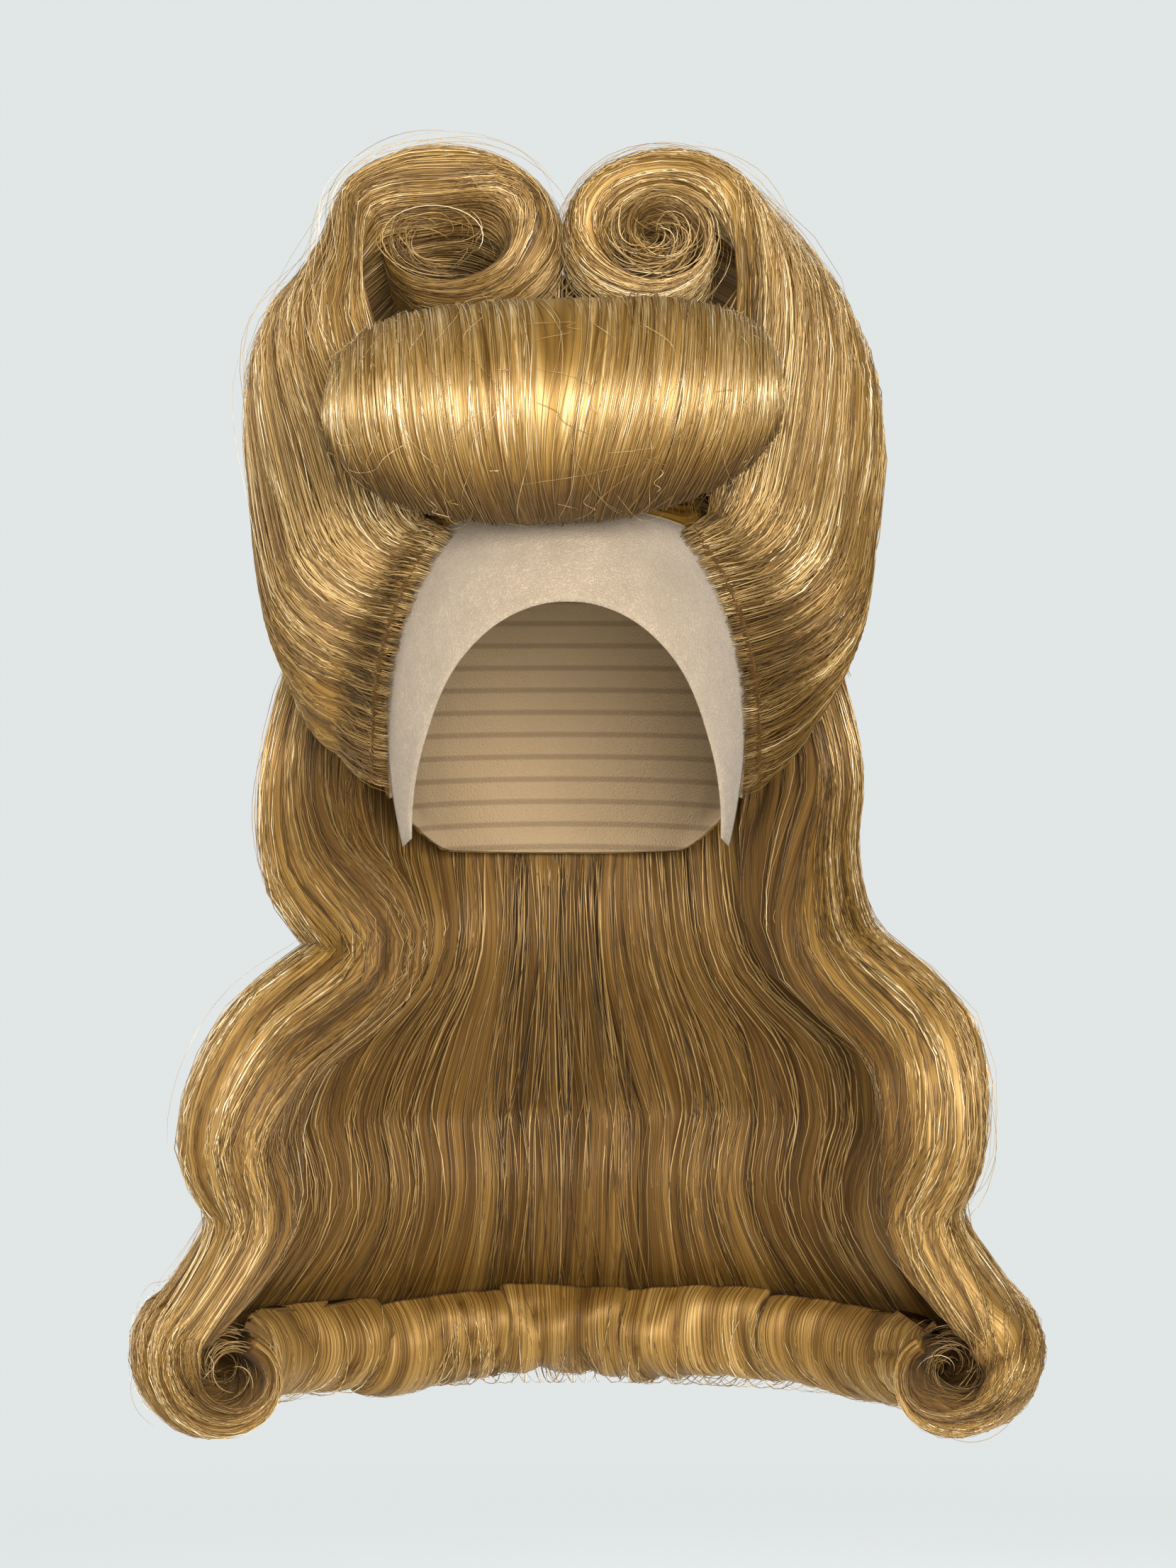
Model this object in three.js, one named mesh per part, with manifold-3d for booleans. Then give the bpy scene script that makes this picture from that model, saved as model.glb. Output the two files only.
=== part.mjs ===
// A rockabilly wig as worn: a rolled fringe, two victory rolls swept up from the sides and long
// waved hair at the back whose ends are rolled under, on a lace cap.
// Millimetres, +Z up. The wearer faces -Y, and the origin is where the crown of the head meets the cap.
import * as THREE from "three";
import { mergeVertices } from "three/addons/utils/BufferGeometryUtils.js";
import Module from "manifold-3d";

const wasm = await Module();
wasm.setup();

// The head that the wig is made for
const headBreadth = 152;
const headLength = 196;
const headRise = 98; // crown down to the widest level
const headDrop = 150; // widest level down to below the chin

// Walls and clearances
const capWall = 1.2;
const laceWall = 1;
const rootDepth = 5; // of the hair that lies flat on the cap
const clearance = 0.35; // between neighbouring pieces

// Rolled fringe
const fringeLength = 177;
const fringeHeight = 88;
const fringeDepth = 84;
const fringeForward = 93; // its axis lies this far in front of the crown
const fringeUp = 10; // and this far above it
const fringeShift = -5.5; // it sits a little to the wearer's right
const fringeTilt = 2.4; // degrees that it drops towards the wearer's right
const fringeTail = 0.62; // how much further its tail reaches back to the scalp
const fringeFullness = 2.4; // of its ends: 2 is an ellipse
const fringeFlatTop = 0.5; // added to that at the top, and taken off below

// Side sweeps and victory rolls
const sweepReach = 119; // from the middle of the head out to the side sweeps
const sweepLift = 100; // from the crown up to the tops of the rolls
const sweepBelow = 145; // from the crown down to the lowest hair at the ears
const sweepDepth = 66; // from the crown forward to the rolls' front rims
const sweepThickness = 23;
const sweepCrown = 25; // how far the middle of a sweep bulges out
const rollPlumpness = 1.4; // of the hair at the top of a roll, as a share of sweepThickness
const sweepSquareness = 2.8; // of its section: 2 is an ellipse

// Long hair at the back
const fallDrop = 354; // from the crown down to where the ends start to roll under
const fallHalfRight = 139; // widest half width on the wearer's right, to the middle of the hair
const fallHalfLeft = 157;
const fallBack = 124; // from the crown back to the middle of the hair
const fallThickness = 28;
const sideFullness = 1.55; // how much thicker the side locks are beside the neck
const sideFrom = 60; // degrees from straight back at which that starts
const sideTo = 80; // and is complete
const fallCentre = 15; // the plan's centre lies this far behind the crown
const curlRadius = 26; // of the rolled ends, to the middle of the hair
const lockCount = 7;
const lockSquareness = 4.5; // of a lock's section: 2 is an ellipse
const lockSpreadTop = 152; // degrees that the locks cover round the back of the head
const lockSpreadBottom = 212; // degrees that they cover at their ends

const hairMaterial = new THREE.MeshStandardMaterial({ color: 0xd2a75f, roughness: 0.42, metalness: 0 });
const laceMaterial = new THREE.MeshStandardMaterial({ color: 0xdcc4a4, roughness: 0.9, metalness: 0 });
const capMaterial = new THREE.MeshStandardMaterial({ color: 0xb79a72, roughness: 0.95, metalness: 0 });

// Side outline of the lace and the cap: shares of half the head's length behind the crown, and of
// headRise below it. The hairline is where the lace ends and the hair starts.
const laceEdge = [
  { behind: -1.3, below: 0.56 },
  { behind: -0.97, below: 0.58 },
  { behind: -0.86, below: 0.82 },
  { behind: -0.68, below: 1.18 },
  { behind: -0.42, below: 1.62 },
  { behind: -0.28, below: 1.66 },
];
const hairline = [
  { behind: -0.26, below: 1.46 },
  { behind: -0.27, below: 1.2 },
  { behind: -0.37, below: 1.0 },
  { behind: -0.4, below: 0.76 },
  { behind: -0.39, below: 0.5 },
  { behind: -0.44, below: 0.36 },
  { behind: -0.7, below: 0.27 },
  { behind: -1.3, below: 0.24 },
];
const napeEdge = [
  { behind: -0.2, below: 1.46 },
  { behind: -0.12, below: 1.22 },
  { behind: 0.04, below: 1.1 },
  { behind: 0.2, below: 1.22 },
  { behind: 0.3, below: 1.52 },
  { behind: 0.6, below: 1.72 },
  { behind: 1.3, below: 1.78 },
];

// The two edges of a side sweep from its roots up to the roll: out is a share of sweepReach, back a
// share of sweepDepth behind the crown, up a share of sweepLift, or of sweepBelow where it is negative.
const sweepEdges = [
  { frontOut: 0.43, frontBack: -0.76, frontUp: -0.27, rearOut: 0.65, rearBack: -0.15, rearUp: -0.93 },
  { frontOut: 0.49, frontBack: -0.72, frontUp: -0.21, rearOut: 0.79, rearBack: 0.16, rearUp: -0.85 },
  { frontOut: 0.53, frontBack: -0.7, frontUp: -0.06, rearOut: 0.91, rearBack: 0.52, rearUp: -0.6 },
  { frontOut: 0.6, frontBack: -0.7, frontUp: 0.18, rearOut: 0.93, rearBack: 0.76, rearUp: -0.27 },
  { frontOut: 0.68, frontBack: -0.8, frontUp: 0.5, rearOut: 0.87, rearBack: 0.82, rearUp: 0.02 },
  { frontOut: 0.7, frontBack: -0.93, frontUp: 0.76, rearOut: 0.74, rearBack: 0.78, rearUp: 0.26 },
];

// The rolls: how far each turns, what is left of its spiral at the inner end and how late it shrinks,
// between which angles its wall thins and to what share of sweepThickness, how far its inner end is set
// back as a share of sweepDepth, how far the sweep is tucked in below it as a share of sweepReach, and
// how many rows past its roots the sweep still bulges.
// Then the spiral's centre, half width and half height, out and wide as shares of sweepReach, up and
// high of sweepLift.
const rolls = [
  {
    name: "victory_roll_right", side: -1, turn: 330, inner: 0.55, shrink: 2.4,
    thinFrom: 90, thinTo: 330, wall: 0.3, recess: 0.45, tuck: 0, crownTo: 1.5,
    front: { out: 0.42, up: 0.825, wide: 0.335, high: 0.277 },
    rear: { out: 0.35, up: 0.4, wide: 0.23, high: 0.2 },
  },
  {
    name: "victory_roll_left", side: 1, turn: 570, inner: 0.24, shrink: 1.35,
    thinFrom: 60, thinTo: 300, wall: 0.25, recess: 0.1, tuck: 0.11, crownTo: 3,
    front: { out: 0.304, up: 0.825, wide: 0.28, high: 0.281 },
    rear: { out: 0.3, up: 0.4, wide: 0.2, high: 0.2 },
  },
];
const rollStart = 150; // degrees above the outer side at which a sweep becomes a roll
const rollStep = 30;
const recessFrom = 0.55; // of the spiral, where its inner end starts to be set back
const rearBehind = 0.74; // the rear end lies this share of sweepDepth behind the crown
const rearThin = 0.35; // of a roll's thickness that is lost towards its rear end

// The long hair's middle from the crown down: shares of fallDrop, of the half widths, of fallBack and
// of fallThickness.
const fallRows = [
  { down: -0.035, right: 0.24, left: 0.22, back: 0.36, thick: 0.35 },
  { down: 0.03, right: 0.42, left: 0.38, back: 0.58, thick: 0.7 },
  { down: 0.145, right: 0.6, left: 0.54, back: 0.81, thick: 0.8 },
  { down: 0.26, right: 0.77, left: 0.69, back: 0.91, thick: 0.9 },
  { down: 0.375, right: 0.85, left: 0.76, back: 0.92, thick: 1.0 },
  { down: 0.485, right: 0.79, left: 0.69, back: 0.85, thick: 1.0 },
  { down: 0.59, right: 0.6, left: 0.7, back: 0.82, thick: 1.0 },
  { down: 0.69, right: 0.885, left: 0.96, back: 0.92, thick: 1.0 },
  { down: 0.8, right: 1.0, left: 0.99, back: 1.06, thick: 1.0 },
  { down: 0.9, right: 0.94, left: 0.95, back: 1.0, thick: 0.9 },
  { down: 1.0, right: 1.11, left: 1.116, back: 1.12, thick: 0.85 },
];
const curlStart = 65; // degrees above its outer side at which the hair meets the curl
const curlTurn = 300; // degrees that the ends roll under
const curlStep = 30;
const curlInner = 0.55; // what is left of the curl's radius at its tip
const curlTip = 0.4; // and of the hair's thickness

// Mesh fineness
const headRings = 16;
const headSides = 30;
const bandSides = 12;

function smoothStep(low, high, value) {
  return THREE.MathUtils.smoothstep(value, low, high);
}

// A closed skin over rings of points, with a fan over each end. The two halves of a ring mirror each
// other's diagonals, so that neighbours which share a wall are split alike.
function skin(rings) {
  const count = rings[0].length;
  const points = rings.flat();
  const faces = [];
  for (let ring = 0; ring + 1 < rings.length; ring += 1) {
    for (let side = 0; side < count; side += 1) {
      const a = ring * count + side;
      const b = ring * count + ((side + 1) % count);
      const far = side >= count / 4 && side < (3 * count) / 4;
      if (far) faces.push(a, b, a + count, b, b + count, a + count);
      else faces.push(a, b, b + count, a, b + count, a + count);
    }
  }
  for (const [ring, order] of [[0, [0, 2, 1]], [rings.length - 1, [0, 1, 2]]]) {
    const middle = new THREE.Vector3();
    rings[ring].forEach((point) => middle.addScaledVector(point, 1 / count));
    const hub = points.push(middle) - 1;
    for (let side = 0; side < count; side += 1) {
      const fan = [hub, ring * count + side, ring * count + ((side + 1) % count)];
      faces.push(...order.map((i) => fan[i]));
    }
  }
  return new THREE.BufferGeometry().setFromPoints(points).setIndex(faces);
}

function toSolid(geometry) {
  const plain = geometry.clone();
  plain.deleteAttribute("normal");
  plain.deleteAttribute("uv");
  const merged = mergeVertices(plain, 1e-4);
  const solid = new wasm.Manifold(new wasm.Mesh({
    numProp: 3,
    vertProperties: merged.getAttribute("position").array,
    triVerts: new Uint32Array(merged.index.array),
  }));
  if (solid.volume() > 0) return solid;
  const turned = merged.index.array.slice();
  for (let i = 0; i < turned.length; i += 3) [turned[i + 1], turned[i + 2]] = [turned[i + 2], turned[i + 1]];
  return new wasm.Manifold(new wasm.Mesh({
    numProp: 3,
    vertProperties: merged.getAttribute("position").array,
    triVerts: new Uint32Array(turned),
  }));
}

// The largest body that a cut leaves
function mainBody(solid) {
  return solid.decompose().reduce((best, body) => (body.volume() > best.volume() ? body : best));
}

function toMesh(name, solid, material) {
  const made = solid.getMesh();
  const geometry = new THREE.BufferGeometry();
  geometry.setAttribute("position", new THREE.BufferAttribute(new Float32Array(made.vertProperties), 3));
  geometry.setIndex(new THREE.BufferAttribute(new Uint32Array(made.triVerts), 1));
  geometry.computeVertexNormals();
  const mesh = new THREE.Mesh(geometry, material);
  mesh.name = name;
  return mesh;
}

// A smooth curve through one column of a table, read at a share of the table's length
function readColumn(rows, column) {
  const curve = new THREE.SplineCurve(rows.map((row, i) => new THREE.Vector2(i, row[column])));
  return (share) => curve.getPoint(THREE.MathUtils.clamp(share, 0, 1)).y;
}

// A section of hair: a rounded oblong of width 1 either way and height 1 either way
function oblong(sides, power) {
  return Array.from({ length: sides }, (_, i) => {
    const angle = (2 * Math.PI * (i + 0.5)) / sides;
    const c = Math.cos(angle);
    const s = Math.sin(angle);
    return {
      across: Math.sign(c) * Math.abs(c) ** (2 / power),
      out: Math.sign(s) * Math.abs(s) ** (2 / power),
    };
  });
}

// The head, and whatever covers it at a distance
function headSolid(grow) {
  const rings = [];
  for (let ring = 1; ring < headRings; ring += 1) {
    const tilt = (Math.PI * ring) / headRings;
    const reach = Math.sin(tilt);
    const rise = Math.cos(tilt);
    const high = rise > 0 ? headRise : headDrop;
    rings.push(Array.from({ length: headSides }, (_, i) => {
      const turn = (2 * Math.PI * i) / headSides;
      return new THREE.Vector3(
        (headBreadth / 2 + grow) * reach * Math.sin(turn),
        (headLength / 2 + grow) * reach * Math.cos(turn),
        -headRise + (high + grow) * rise,
      );
    }));
  }
  const top = new THREE.Vector3(0, 0, grow);
  const bottom = new THREE.Vector3(0, 0, -headRise - headDrop - grow);
  rings.unshift(rings[0].map(() => top));
  rings.push(rings[0].map(() => bottom));
  return toSolid(polarSkin(rings));
}

// A skin whose first and last rings are single points
function polarSkin(rings) {
  const count = rings[1].length;
  const inner = rings.slice(1, -1);
  const geometry = skin(inner);
  const position = geometry.getAttribute("position");
  const first = inner.length * count;
  position.setXYZ(first, ...rings[0][0].toArray());
  position.setXYZ(first + 1, ...rings.at(-1)[0].toArray());
  return geometry;
}

// A slab across the head whose side outline is a list of shares
function outlineSlab(edge) {
  const shape = new THREE.Shape(edge.map((row) => new THREE.Vector2(
    row.behind * (headLength / 2),
    -row.below * headRise,
  )));
  const slab = new THREE.ExtrudeGeometry(shape, { depth: 2 * headBreadth, bevelEnabled: false });
  slab.translate(0, 0, -headBreadth);
  slab.applyMatrix4(new THREE.Matrix4().set(0, 0, 1, 0, 1, 0, 0, 0, 0, 1, 0, 0, 0, 0, 0, 1));
  return toSolid(slab);
}

function movedBack(edge, by) {
  return edge.map((row) => ({ behind: row.behind + by / (headLength / 2), below: row.below }));
}

function makeLaceFront() {
  return headSolid(laceWall).subtract(headSolid(0)).intersect(outlineSlab([...laceEdge, ...hairline]));
}

// What covers the head behind the hairline, between two distances from it
function makeCover(inner, outer) {
  const over = [{ behind: 1.3, below: -0.4 }, { behind: -1.3, below: -0.4 }];
  const outline = [...movedBack([...hairline].reverse(), clearance), ...napeEdge, ...over];
  return mainBody(headSolid(outer).subtract(headSolid(inner)).intersect(outlineSlab(outline)));
}

// The rolled fringe: turn goes round the roll from its tail over the top, along goes from end to end
function fringePoint(turn, along, grow) {
  const power = fringeFullness + fringeFlatTop * Math.sin(turn);
  const end = Math.max(0, 1 - Math.abs(along) ** power) ** (1 / power);
  const tail = 1 + fringeTail * Math.max(0, Math.cos(turn - 0.22)) ** 5;
  const high = (fringeHeight / 2) * tail * end + grow;
  const deep = (fringeDepth / 2) * tail * end + grow;
  const reach = along * (fringeLength / 2 + grow);
  return new THREE.Vector3(
    fringeShift + reach,
    -fringeForward + deep * Math.cos(turn),
    fringeUp + high * Math.sin(turn) + reach * Math.tan(THREE.MathUtils.degToRad(fringeTilt)),
  );
}

function makeFringe(grow = 0) {
  const sides = 18;
  const stations = [-0.99, -0.94, -0.85, -0.7, -0.48, -0.24, 0, 0.24, 0.48, 0.7, 0.85, 0.94, 0.99];
  const rings = stations.map((along) => Array.from({ length: sides }, (_, i) => (
    fringePoint((2 * Math.PI * i) / sides, along, grow))));
  const ends = [-1, 1].map((along) => [fringePoint(Math.PI / 2, along, grow).setY(-fringeForward)]);
  return toSolid(polarSkin([ends[0], ...rings, ends[1]]));
}

// One edge of a sweep with the spiral that follows it, as a smooth curve
function sweepRail(roll, edge) {
  const spiral = edge === "front" ? roll.front : roll.rear;
  const behind = edge === "front" ? -1 : rearBehind;
  const lastRow = sweepEdges.length - 1;
  const points = sweepEdges.map((row, i) => {
    const up = row[`${edge}Up`];
    const tucked = edge === "front" ? roll.tuck * smoothStep(lastRow - 3, lastRow, i) : 0;
    return new THREE.Vector3(
      roll.side * (row[`${edge}Out`] - tucked) * sweepReach,
      row[`${edge}Back`] * sweepDepth,
      up * (up < 0 ? sweepBelow : sweepLift),
    );
  });
  for (let turned = 0; turned <= roll.turn; turned += rollStep) {
    const share = turned / roll.turn;
    const left = 1 - (1 - roll.inner) * share ** roll.shrink;
    const setBack = edge === "front" ? roll.recess * smoothStep(recessFrom, 1, share) : 0;
    const angle = THREE.MathUtils.degToRad(rollStart - turned);
    points.push(new THREE.Vector3(
      roll.side * (spiral.out - spiral.wide * left * Math.cos(angle)) * sweepReach,
      (behind + setBack) * sweepDepth,
      (spiral.up + spiral.high * left * Math.sin(angle)) * sweepLift,
    ));
  }
  return points;
}

function makeRoll(roll, grow = 0) {
  const front = sweepRail(roll, "front");
  const rear = sweepRail(roll, "rear");
  const frontCurve = new THREE.CatmullRomCurve3(front);
  const rearCurve = new THREE.CatmullRomCurve3(rear);
  const section = oblong(bandSides, sweepSquareness);
  const last = front.length - 1;
  const rootRows = sweepEdges.length - 1;
  const rings = [];
  for (let step = 0; step <= last * 2; step += 1) {
    const share = step / (last * 2);
    const row = share * last;
    const f = frontCurve.getPoint(share);
    const r = rearCurve.getPoint(share);
    const across = r.clone().sub(f).multiplyScalar(0.5);
    const middle = f.clone().add(across);
    const forward = frontCurve.getTangent(share).add(rearCurve.getTangent(share)).normalize();
    const normal = new THREE.Vector3().crossVectors(forward, across).normalize().multiplyScalar(-roll.side);
    const rooted = smoothStep(-1.2, 1.6, row);
    const turned = (row - rootRows - 1) * rollStep;
    const plump = 1 + (rollPlumpness - 1) * smoothStep(-rollStep, 2 * rollStep, turned);
    const thinned = smoothStep(roll.thinFrom, roll.thinTo, turned);
    const thick = sweepThickness * rooted * (plump + (roll.wall - plump) * thinned);
    const bulge = sweepCrown * smoothStep(0, 2, row) * (1 - smoothStep(rootRows - 1, rootRows + roll.crownTo, row));
    const halfWidth = across.length();
    across.normalize();
    const thinner = rearThin * smoothStep(rootRows - 1, rootRows + 1, row);
    rings.push(section.map(({ across: a, out: o }) => middle.clone()
      .addScaledVector(across, a * (halfWidth + grow))
      .addScaledVector(normal, o * ((thick / 2) * (1 - (thinner * (1 + a)) / 2) + grow) + bulge * (1 - a * a))));
  }
  return toSolid(skin(rings));
}

// The long hair: turned is degrees from straight back, positive towards the wearer's left
const fallDown = readColumn(fallRows, "down");
const fallRight = readColumn(fallRows, "right");
const fallLeft = readColumn(fallRows, "left");
const fallRear = readColumn(fallRows, "back");
const fallThick = readColumn(fallRows, "thick");

function profilePoint(share, turned) {
  const angle = THREE.MathUtils.degToRad(turned);
  const half = turned > 0 ? fallLeft(share) * fallHalfLeft : fallRight(share) * fallHalfRight;
  const deep = fallRear(share) * fallBack - fallCentre;
  const out = (half * deep) / Math.hypot(deep * Math.sin(angle), half * Math.cos(angle));
  return new THREE.Vector2(out, -fallDown(share) * fallDrop);
}

// The middle of the hair at one angle, from the crown to the tip of the curl, in the upright plane there
function fallProfile(turned) {
  const rows = fallRows.length;
  const points = fallRows.map((_, i) => profilePoint(i / (rows - 1), turned));
  const start = points.at(-1);
  const onCurl = (angle, left) => {
    const at = THREE.MathUtils.degToRad(curlStart - angle);
    return new THREE.Vector2(Math.cos(at), Math.sin(at)).multiplyScalar(curlRadius * left);
  };
  const centre = start.clone().sub(onCurl(0, 1));
  for (let angle = curlStep; angle <= curlTurn; angle += curlStep) {
    const left = 1 - (1 - curlInner) * (angle / curlTurn);
    points.push(onCurl(angle, left).add(centre));
  }
  return new THREE.SplineCurve(points);
}

const fallProfiles = new Map();
function fallPoint(share, turned, out) {
  const key = turned.toFixed(3);
  if (!fallProfiles.has(key)) fallProfiles.set(key, fallProfile(turned));
  const profile = fallProfiles.get(key);
  const at = profile.getPoint(share);
  const along = profile.getTangent(share);
  const angle = THREE.MathUtils.degToRad(turned);
  const reach = at.x - along.y * out;
  return new THREE.Vector3(reach * Math.sin(angle), fallCentre + reach * Math.cos(angle), at.y + along.x * out);
}

function makeLock(index) {
  const section = oblong(bandSides, lockSquareness);
  const steps = 30;
  const falling = (fallRows.length - 1) / (fallRows.length - 1 + curlTurn / curlStep);
  const rings = [];
  for (let step = 0; step <= steps; step += 1) {
    const share = step / steps;
    const fallen = Math.min(1, share / falling);
    const spread = lockSpreadTop + (lockSpreadBottom - lockSpreadTop) * smoothStep(0.35, 0.75, fallen);
    const slot = spread / lockCount;
    const centre = (index - (lockCount - 1) / 2) * slot;
    const curled = smoothStep(falling, 1, share);
    const beside = smoothStep(0.3, 0.55, fallen) * (1 - smoothStep(0.82, 1, fallen));
    const fuller = 1 + (sideFullness - 1) * beside * smoothStep(sideFrom, sideTo, Math.abs(centre));
    const thick = fallThickness * fallThick(fallen) * fuller * (1 - (1 - curlTip) * curled);
    const reach = profilePoint(fallen, centre).x;
    const half = slot / 2 - THREE.MathUtils.radToDeg(clearance / 2 / reach);
    rings.push(section.map(({ across, out }) => fallPoint(share, centre + half * across, (thick / 2) * out)));
  }
  return toSolid(skin(rings));
}

const lockNames = [
  "side_lock_right", "back_lock_right_outer", "back_lock_right_inner", "back_lock_middle",
  "back_lock_left_inner", "back_lock_left_outer", "side_lock_left",
];

const rootInner = capWall + clearance;
const rooted = headSolid(rootInner + rootDepth + clearance);
const fringe = makeFringe();
const wideFringe = makeFringe(clearance);
const [rightRoll, leftRoll] = rolls.map((roll) => makeRoll(roll));
const [wideRight, wideLeft] = rolls.map((roll) => makeRoll(roll, clearance));

const wig = new THREE.Group();
wig.add(toMesh("lace_front", makeLaceFront(), laceMaterial));
wig.add(toMesh("cap", makeCover(0, capWall), capMaterial));
wig.add(toMesh("root_hair", makeCover(rootInner, rootInner + rootDepth), hairMaterial));
wig.add(toMesh("front_roll", mainBody(fringe.subtract(rooted)), hairMaterial));
const rightPiece = rightRoll.subtract(rooted).subtract(wideFringe);
const leftPiece = leftRoll.subtract(rooted).subtract(wideFringe).subtract(wideRight);
wig.add(toMesh(rolls[0].name, mainBody(rightPiece), hairMaterial));
wig.add(toMesh(rolls[1].name, mainBody(leftPiece), hairMaterial));
for (let index = 0; index < lockCount; index += 1) {
  const lock = makeLock(index).subtract(rooted).subtract(wideRight).subtract(wideLeft);
  wig.add(toMesh(lockNames[index], mainBody(lock), hairMaterial));
}

export default wig;
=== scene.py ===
# A golden blonde rockabilly wig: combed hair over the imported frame, in metres.
import math

import bmesh
import bpy
import numpy as np
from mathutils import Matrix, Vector


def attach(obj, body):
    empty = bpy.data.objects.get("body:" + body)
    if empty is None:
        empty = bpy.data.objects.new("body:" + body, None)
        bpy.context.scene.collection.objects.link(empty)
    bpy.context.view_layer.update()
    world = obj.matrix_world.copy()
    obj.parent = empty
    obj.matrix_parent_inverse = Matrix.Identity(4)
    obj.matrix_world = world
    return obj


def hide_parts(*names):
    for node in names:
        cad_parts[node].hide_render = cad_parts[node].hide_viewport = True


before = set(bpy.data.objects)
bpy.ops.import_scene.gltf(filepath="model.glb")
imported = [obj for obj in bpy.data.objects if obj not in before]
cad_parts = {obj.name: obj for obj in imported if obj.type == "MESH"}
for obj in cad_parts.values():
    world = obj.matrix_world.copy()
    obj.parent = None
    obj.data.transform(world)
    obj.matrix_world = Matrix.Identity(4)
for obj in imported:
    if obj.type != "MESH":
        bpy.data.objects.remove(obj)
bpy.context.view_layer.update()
print("frame loaded:", sorted(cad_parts))

fullTurn = 2 * math.pi


def thinned(count):
    return count


def addObject(name, data):
    thing = bpy.data.objects.new(name, data)
    bpy.context.scene.collection.objects.link(thing)
    return thing


def aimAlong(thing, direction):
    thing.rotation_euler = Vector(direction).to_track_quat("-Z", "Y").to_euler()


# Camera at the height and angle of the reference view, closer framed
view = {"place": (-0.0196, -1.975, -0.0615), "aim": (0.01466, 1.0033, -0.03917), "lens": 111.0, "film": 36.0}


def makeCamera():
    data = bpy.data.cameras.new("portraitCamera")
    data.lens, data.sensor_width = view["lens"], view["film"]
    camera = addObject("portraitCamera", data)
    camera.location = view["place"]
    aimAlong(camera, view["aim"])
    bpy.context.scene.camera = camera


makeCamera()
print("camera set")


# Small helpers for shapes

def smoothStep(low, high, value):
    t = np.clip((value - low) / (high - low), 0, 1)
    return t * t * (3 - 2 * t)


def unit(vectors):
    return vectors / np.maximum(np.linalg.norm(vectors, axis=-1, keepdims=True), 1e-9)


def stacked(*parts):
    # Several measures side by side in a new last axis
    return np.stack(np.broadcast_arrays(*parts), axis=-1)


def curvePoint(p0, p1, p2, p3, t, even=True):
    # A Catmull-Rom stretch from p1 to p2; uneven spacing is evened out unless even is set
    if even:
        d01 = d12 = d23 = 1.0
    else:
        d01, d12, d23 = (np.maximum(np.linalg.norm(b - a, axis=-1, keepdims=True), 1e-6) ** 0.5
                         for a, b in ((p0, p1), (p1, p2), (p2, p3)))
    m1 = ((p1 - p0) / d01 - (p2 - p0) / (d01 + d12) + (p2 - p1) / d12) * d12
    m2 = ((p2 - p1) / d12 - (p3 - p1) / (d12 + d23) + (p3 - p2) / d23) * d12
    t = t[..., None]
    return (p1 + m1 * t + (-3 * p1 + 3 * p2 - 2 * m1 - m2) * t ** 2 + (2 * p1 - 2 * p2 + m1 + m2) * t ** 3)


def alongCurve(points, share, even=True):
    points = np.asarray(points, float)
    padded = np.vstack([2 * points[0] - points[1], points, 2 * points[-1] - points[-2]])
    place = np.clip(share, 0, 1) * (len(points) - 1)
    i = np.minimum(place.astype(int), len(points) - 2)
    return curvePoint(padded[i], padded[i + 1], padded[i + 2], padded[i + 3], place - i, even)


def ripple(seed, a, b, terms):
    # A smooth, repeatable unevenness of about -1 to 1; a wraps round at 1 and b is free
    rng = np.random.default_rng(seed)
    total, weight = 0.0, 0.0
    for aMost, bMost, share in terms:
        m = rng.integers(1, aMost + 1)
        n = rng.uniform(-bMost, bMost)
        total = total + share * np.sin(2 * math.pi * (m * a + n * b + rng.random()))
        weight += share
    return total / weight * 1.4


def oblongSection(power, wide, thick):
    # A rounded oblong, read by its share of the way round: across, out and the outward direction
    angle = np.linspace(0, fullTurn, 721)
    c, s = np.cos(angle), np.sin(angle)
    across = np.sign(c) * np.abs(c) ** (2 / power)
    out = np.sign(s) * np.abs(s) ** (2 / power)
    x, y = across * wide, out * thick
    way = np.concatenate([[0], np.cumsum(np.hypot(np.diff(x), np.diff(y)))])
    nx = x / wide ** 2 * np.abs(across) ** (power - 2 + 1e-6)
    ny = y / thick ** 2 * np.abs(out) ** (power - 2 + 1e-6)
    size = np.maximum(np.hypot(nx, ny), 1e-9)
    return {"way": way / way[-1], "across": across, "out": out, "nx": nx / size, "ny": ny / size,
            "round": way[-1]}


def readSection(section, share):
    s = np.mod(share, 1)
    return [np.interp(s, section["way"], section[key]) for key in ("across", "out", "nx", "ny")]


# The head that the wig is made for, and what covers it
head = {"breadth": 0.152, "length": 0.196, "rise": 0.098, "drop": 0.150}
cover = {"cap": 0.0012, "lace": 0.0008, "roots": 0.0066, "clear": 0.0069}
halfBreadth, halfLength = head["breadth"] / 2, head["length"] / 2
headCentre = np.array([0, 0, -head["rise"]])

# Side outlines: behind the crown as shares of half the head's length, below it as shares of its rise
hairline = [(-0.26, 1.46), (-0.27, 1.2), (-0.37, 1.0), (-0.4, 0.76), (-0.39, 0.5), (-0.44, 0.36),
            (-0.7, 0.27), (-1.3, 0.24)]
napeLine = [(-0.2, 1.46), (-0.12, 1.22), (0.04, 1.1), (0.2, 1.22), (0.3, 1.52), (0.6, 1.72), (1.3, 1.78)]
laceLine = [(-1.3, 0.56), (-0.97, 0.58), (-0.86, 0.82), (-0.68, 1.18), (-0.42, 1.62), (-0.28, 1.66)]


def headHigh(z, grow=0.0):
    # How far the head reaches above or below its widest level
    return np.where(z > -head["rise"], head["rise"], head["drop"]) + grow


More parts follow.
